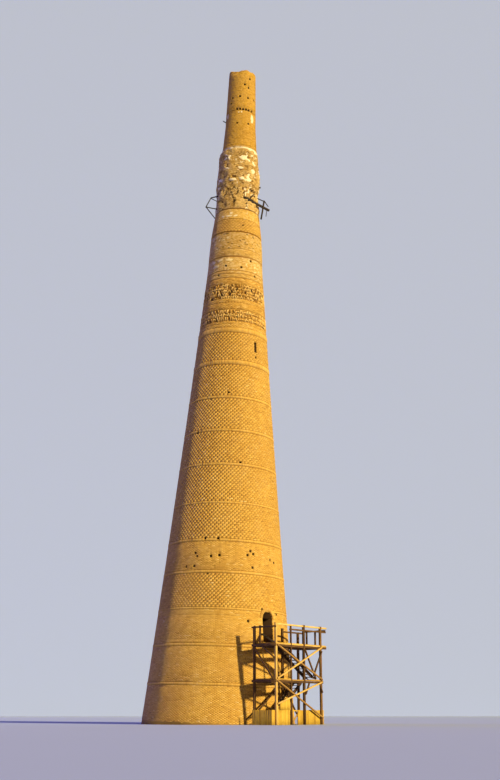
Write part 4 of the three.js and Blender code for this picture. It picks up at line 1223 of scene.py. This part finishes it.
BRICK_STOPS = [
    (0.0, (0.4, 0.2, 0.045)), (0.3, (0.6, 0.34, 0.07)), (0.55, (0.73, 0.44, 0.09)),
    (0.8, (0.83, 0.54, 0.14)), (1.0, (0.9, 0.68, 0.3)),
]
LANTERN_STOPS = [(0.0, (0.36, 0.18, 0.02)), (0.4, (0.58, 0.32, 0.025)), (0.9, (0.74, 0.44, 0.055))]
RELIEF_STOPS = [
    (0.0, (0.18, 0.08, 0.015)), (0.3, (0.46, 0.23, 0.04)), (0.6, (0.74, 0.42, 0.08)),
    (0.9, (0.88, 0.6, 0.2)),
]
PALE_STOPS = [
    (0.0, (0.36, 0.19, 0.045)), (0.3, (0.56, 0.32, 0.06)), (0.6, (0.72, 0.44, 0.1)),
    (0.95, (0.88, 0.68, 0.34)),
]
ERODED_STOPS = [(0.0, (0.36, 0.2, 0.05)), (0.45, (0.68, 0.42, 0.115)), (0.9, (0.88, 0.64, 0.25))]
OLD_STOPS = [(0.15, (0.012, 0.007, 0.005)), (0.5, (0.025, 0.014, 0.01)), (0.9, (0.05, 0.03, 0.02))]
STAIR_STOPS = [
    (0.05, (0.07, 0.03, 0.008)), (0.25, (0.27, 0.13, 0.03)), (0.55, (0.66, 0.4, 0.1)),
    (0.85, (0.88, 0.64, 0.25)),
]
# Near-black for the flights: painted shade on their stringers and the undersides of their treads.
SHADED_FLIGHT_STOPS = [(0.1, (0.025, 0.01, 0.004)), (0.45, (0.055, 0.022, 0.008)), (0.85, (0.11, 0.05, 0.018))]
BOARD_STOPS = [(0.1, (0.3, 0.15, 0.015)), (0.45, (0.56, 0.33, 0.035)), (0.85, (0.8, 0.52, 0.08))]

brick = fired_brick("fired_brick", BRICK_STOPS, (0.6, 0.44, 0.3), 0.35, (0.8, 0.58, 0.28), 0.2)
lantern_brick = fired_brick("lantern_brick", LANTERN_STOPS, (0.6, 0.44, 0.3), 0.35, (0.74, 0.5, 0.2), 0.15)
relief_brick = fired_brick("relief_brick", RELIEF_STOPS, (0.5, 0.36, 0.24), 0.4, (0.8, 0.6, 0.3), 0.12)
pale_brick = fired_brick("pale_brick", PALE_STOPS, (0.62, 0.48, 0.34), 0.3, (0.86, 0.66, 0.34), 0.25)
eroded_brick = fired_brick("eroded_brick", ERODED_STOPS, (0.5, 0.4, 0.3), 0.35, (0.84, 0.68, 0.4), 0.35)
mortar = lime_mortar("mortar", (0.56, 0.32, 0.065), (0.84, 0.7, 0.46), (0.7, 0.56, 0.4))
pale_mortar = lime_mortar("pale_mortar", (0.56, 0.33, 0.09), (0.86, 0.68, 0.36), (0.72, 0.58, 0.42))
ruin_mortar = lime_mortar("ruin_mortar", (0.42, 0.25, 0.08), (0.92, 0.78, 0.54), (0.68, 0.56, 0.42))
iron = rusty_iron()
# Near-black for the faces cut through the wall: painted shade inside the door's passage, the slit and the
# holes.
painted_hollow_shade = lime_mortar("painted_hollow_shade", (0.05, 0.024, 0.01), (0.12, 0.07, 0.03), (0.5, 0.4, 0.3))

MASONRY = {
    "brick": (brick, mortar), "relief_brick": (relief_brick, mortar),
    "lantern_brick": (lantern_brick, mortar), "pale_brick": (pale_brick, pale_mortar),
    "eroded_brick": (eroded_brick, ruin_mortar),
}
WOODS = {
    "old_timber": sawn_wood("old_wood", OLD_STOPS, (0.4, 0.34, 0.3), 0.5),
    "stair_timber": sawn_wood("stair_wood", STAIR_STOPS, (0.42, 0.3, 0.2), 0.35),
    "flight_timber": sawn_wood("flight_wood", SHADED_FLIGHT_STOPS, (0.4, 0.3, 0.22), 0.5),
    "stair_boards": sawn_wood("board_wood", BOARD_STOPS, (0.45, 0.3, 0.18), 0.5),
}
RECORD_SLOT = {"lantern_brick": "brick", "flight_timber": "old_timber"}


# The tower's pieces from the foot up: name, top, what it is made of, and the nodes that it stands for

BELT_LEVELS = [14.06, 17.15, 20.41, 23.36, 26.3, 29.51]
TOWER_PIECES = [
    ("footing", 2.86, "brick", "footing_drum"), ("base", DOOR_SILL, "brick", "base_drum"),
    ("door", DOOR_SPRING, "brick", "wall_left_of_door", "wall_right_of_door"),
    ("over_door", 11.5, "brick", "wall_over_door"),
    *[(f"belt_{belt}", top, "brick", f"belt_drum_{belt}") for belt, top in enumerate(BELT_LEVELS, 1)],
    ("slit", SLIT_HEAD, "brick", "wall_left_of_slit", "wall_right_of_slit"),
    ("above_slit", 33.05, "brick", "wall_above_slit"),
    ("lower_relief", 34.49, "relief_brick", "relief_band_lower"),
    ("upper_relief", 37.61, "relief_brick", "relief_band_upper"),
    ("pale", 39.71, "pale_brick", "pale_band"), ("plaster", 42.21, "pale_brick", "plaster_band"),
    ("diamond", 44.65, "brick", "diamond_band"),
    ("lower_ruin", 48.1, "eroded_brick", "gallery_ruin_lower"),
    ("upper_ruin", 51.36, "eroded_brick", "gallery_ruin_upper"),
    ("lantern", 55.37, "lantern_brick", "lantern_drum"),
    ("broken_top", TOWER_HEIGHT, "lantern_brick", "broken_top"),
]


def tower_masonry():
    bricks = wall_bricks()
    _, middle = middles(bricks)
    low = WALL_FOOT
    for name, high, kind, *nodes in TOWER_PIECES:
        mass = backing(low + PIECE_GAP / 2, high - PIECE_GAP / 2, bored=low >= DOOR_SILL)
        tools = cutters(low, high)
        if tools.count:
            mass = cut_out(mass, tools)
        lay(mass, only(bricks, (middle >= low) & (middle < high)))
        if name == "over_door":
            door_arch(mass)
        if name == "broken_top":
            lay(mass, inner_rim_bricks(TOWER_HEIGHT - 1.4, TOWER_HEIGHT))
        materials = (*MASONRY[kind], painted_hollow_shade)
        finished(name + "_masonry", mass, in_tower, materials, RECORD_SLOT.get(kind, kind), *nodes)
        low = high


# Timber pieces: name, what it is made of, its node, and the function and the sizes that build it

TOWER_TIMBER = [
    ("left_gallery", "old_timber", "gallery_timbers_left", old_timbers, GALLERY_LEFT),
    ("right_gallery", "old_timber", "gallery_timbers_right", old_timbers, GALLERY_RIGHT),
    ("gallery_stub", "old_timber", "gallery_stub_right", old_timbers, GALLERY_STUB),
    ("lantern_stick", "old_timber", "lantern_stick_left", old_timbers, LANTERN_STICK),
]
STAIR_PIECES = [
    ("front_frame", "stair_timber", "stair_front_frame", front_frame),
    ("upper_braces", "stair_timber", "stair_upper_braces", braces, BRACE_PLANE, UPPER_BRACES),
    ("lower_braces", "stair_timber", "stair_lower_braces", braces, BRACE_PLANE, LOWER_BRACES),
    ("back_frame", "stair_timber", "stair_back_frame", back_frame),
    ("left_end", "stair_timber", "stair_left_end", left_end),
    ("right_end", "stair_timber", "stair_right_end", right_end),
    ("upper_deck", "stair_boards", "upper_deck", upper_deck),
    ("mid_landing", "stair_boards", "mid_landing", floor_boards, MID_TOP, LOWER_FLIGHT["top"], MID_END),
    ("mid_boards", "stair_boards", "mid_boards_left", floor_boards, MID_TOP, FLOOR_START, MID_BOARDS_END),
    ("upper_flight", "flight_timber", "upper_flight", partial(flight, **UPPER_FLIGHT)),
    ("lower_flight", "flight_timber", "lower_flight", partial(flight, **LOWER_FLIGHT)),
    ("door_bridge", "stair_boards", "door_bridge", door_bridge),
    ("door_plank", "old_timber", "door_plank", leaning_plank),
    ("base_front", "stair_boards", "base_boards_front", base_front),
    ("base_left", "stair_boards", "base_boards_left", base_side, BASE_START + BOARDING / 2),
    ("base_right", "stair_boards", "base_boards_right", base_side, BASE_END - BOARDING / 2),
    ("side_panel", "stair_boards", "side_panel", side_panel),
    ("entry_plank", "stair_timber", "entry_plank", entry_plank),
]


def timber(pieces, place):
    for name, kind, node, build, *sizes in pieces:
        mass = Mass()
        build(mass, *sizes)
        finished(name + "_wood", mass, place, (WOODS[kind], iron), RECORD_SLOT.get(kind, kind), node)


tower_masonry()
timber(TOWER_TIMBER, in_tower)
timber(STAIR_PIECES, in_stairs)


# Floor, light and camera

FLOOR, BACKDROP_PLACE, BACKDROP_HALF, BACKDROP_HEIGHT = 400, 80, 50, 110


def plain_sheet(name, corners, colour):
    material = bpy.data.materials.new(name)
    material.use_nodes = True
    shader = material.node_tree.nodes["Principled BSDF"]
    shader.inputs["Base Color"].default_value = rgba(colour)
    shader.inputs["Roughness"].default_value = 0.95
    mesh = bpy.data.meshes.new(name)
    mesh.from_pydata(corners, [], [(0, 1, 2, 3)])
    mesh.materials.append(material)
    sheet = placed(name, mesh)


def sun(name, azimuth, elevation, strength, colour, softness):
    """A light from an azimuth, turned from -Y towards +X, in degrees."""
    light = bpy.data.lights.new(name, "SUN")
    light.energy, light.color, light.angle = strength, colour, softness
    placed(name, light).rotation_euler = (math.radians(90 - elevation), 0, math.radians(azimuth))


plain_sheet("pale_floor", [(x * FLOOR, y * FLOOR, 0) for x, y in ((-1, -1), (1, -1), (1, 1), (-1, 1))],
            (0.46, 0.52, 0.72))
plain_sheet("pale_backdrop", [(x * BACKDROP_HALF, BACKDROP_PLACE, z * BACKDROP_HEIGHT)
                              for x, z in ((-1, 0), (1, 0), (1, 1), (-1, 1))], (0.35, 0.42, 0.76))
sun("key", 46, 20, 5.9, (1.0, 0.86, 0.46), 0.05)
sun("fill", -118, 15, 2.4, (0.1, 0.09, 1.0), 0.9)

world = bpy.data.worlds.new("studio")
bpy.context.scene.world = world
world.use_nodes = True
world.node_tree.nodes["Background"].inputs["Color"].default_value = (0.08, 0.066, 0.1, 1)

CAMERA_PLACE = (0, -44.13, 0.4595)
CAMERA_PITCH, CAMERA_AZIMUTH = 17.049, 1.641
FRAME_HEIGHT, FOCAL_PIXELS, SENSOR = 780, 1050, 36
camera_data = bpy.data.cameras.new("camera")
camera_data.sensor_width = SENSOR
camera_data.lens = FOCAL_PIXELS / FRAME_HEIGHT * SENSOR
camera_data.clip_end = 2000
camera = placed("camera", camera_data)
camera.location = CAMERA_PLACE
camera.rotation_euler = (math.radians(90 + CAMERA_PITCH), 0, -math.radians(CAMERA_AZIMUTH))
bpy.context.scene.camera = camera
bpy.context.scene.view_settings.view_transform = "Standard"
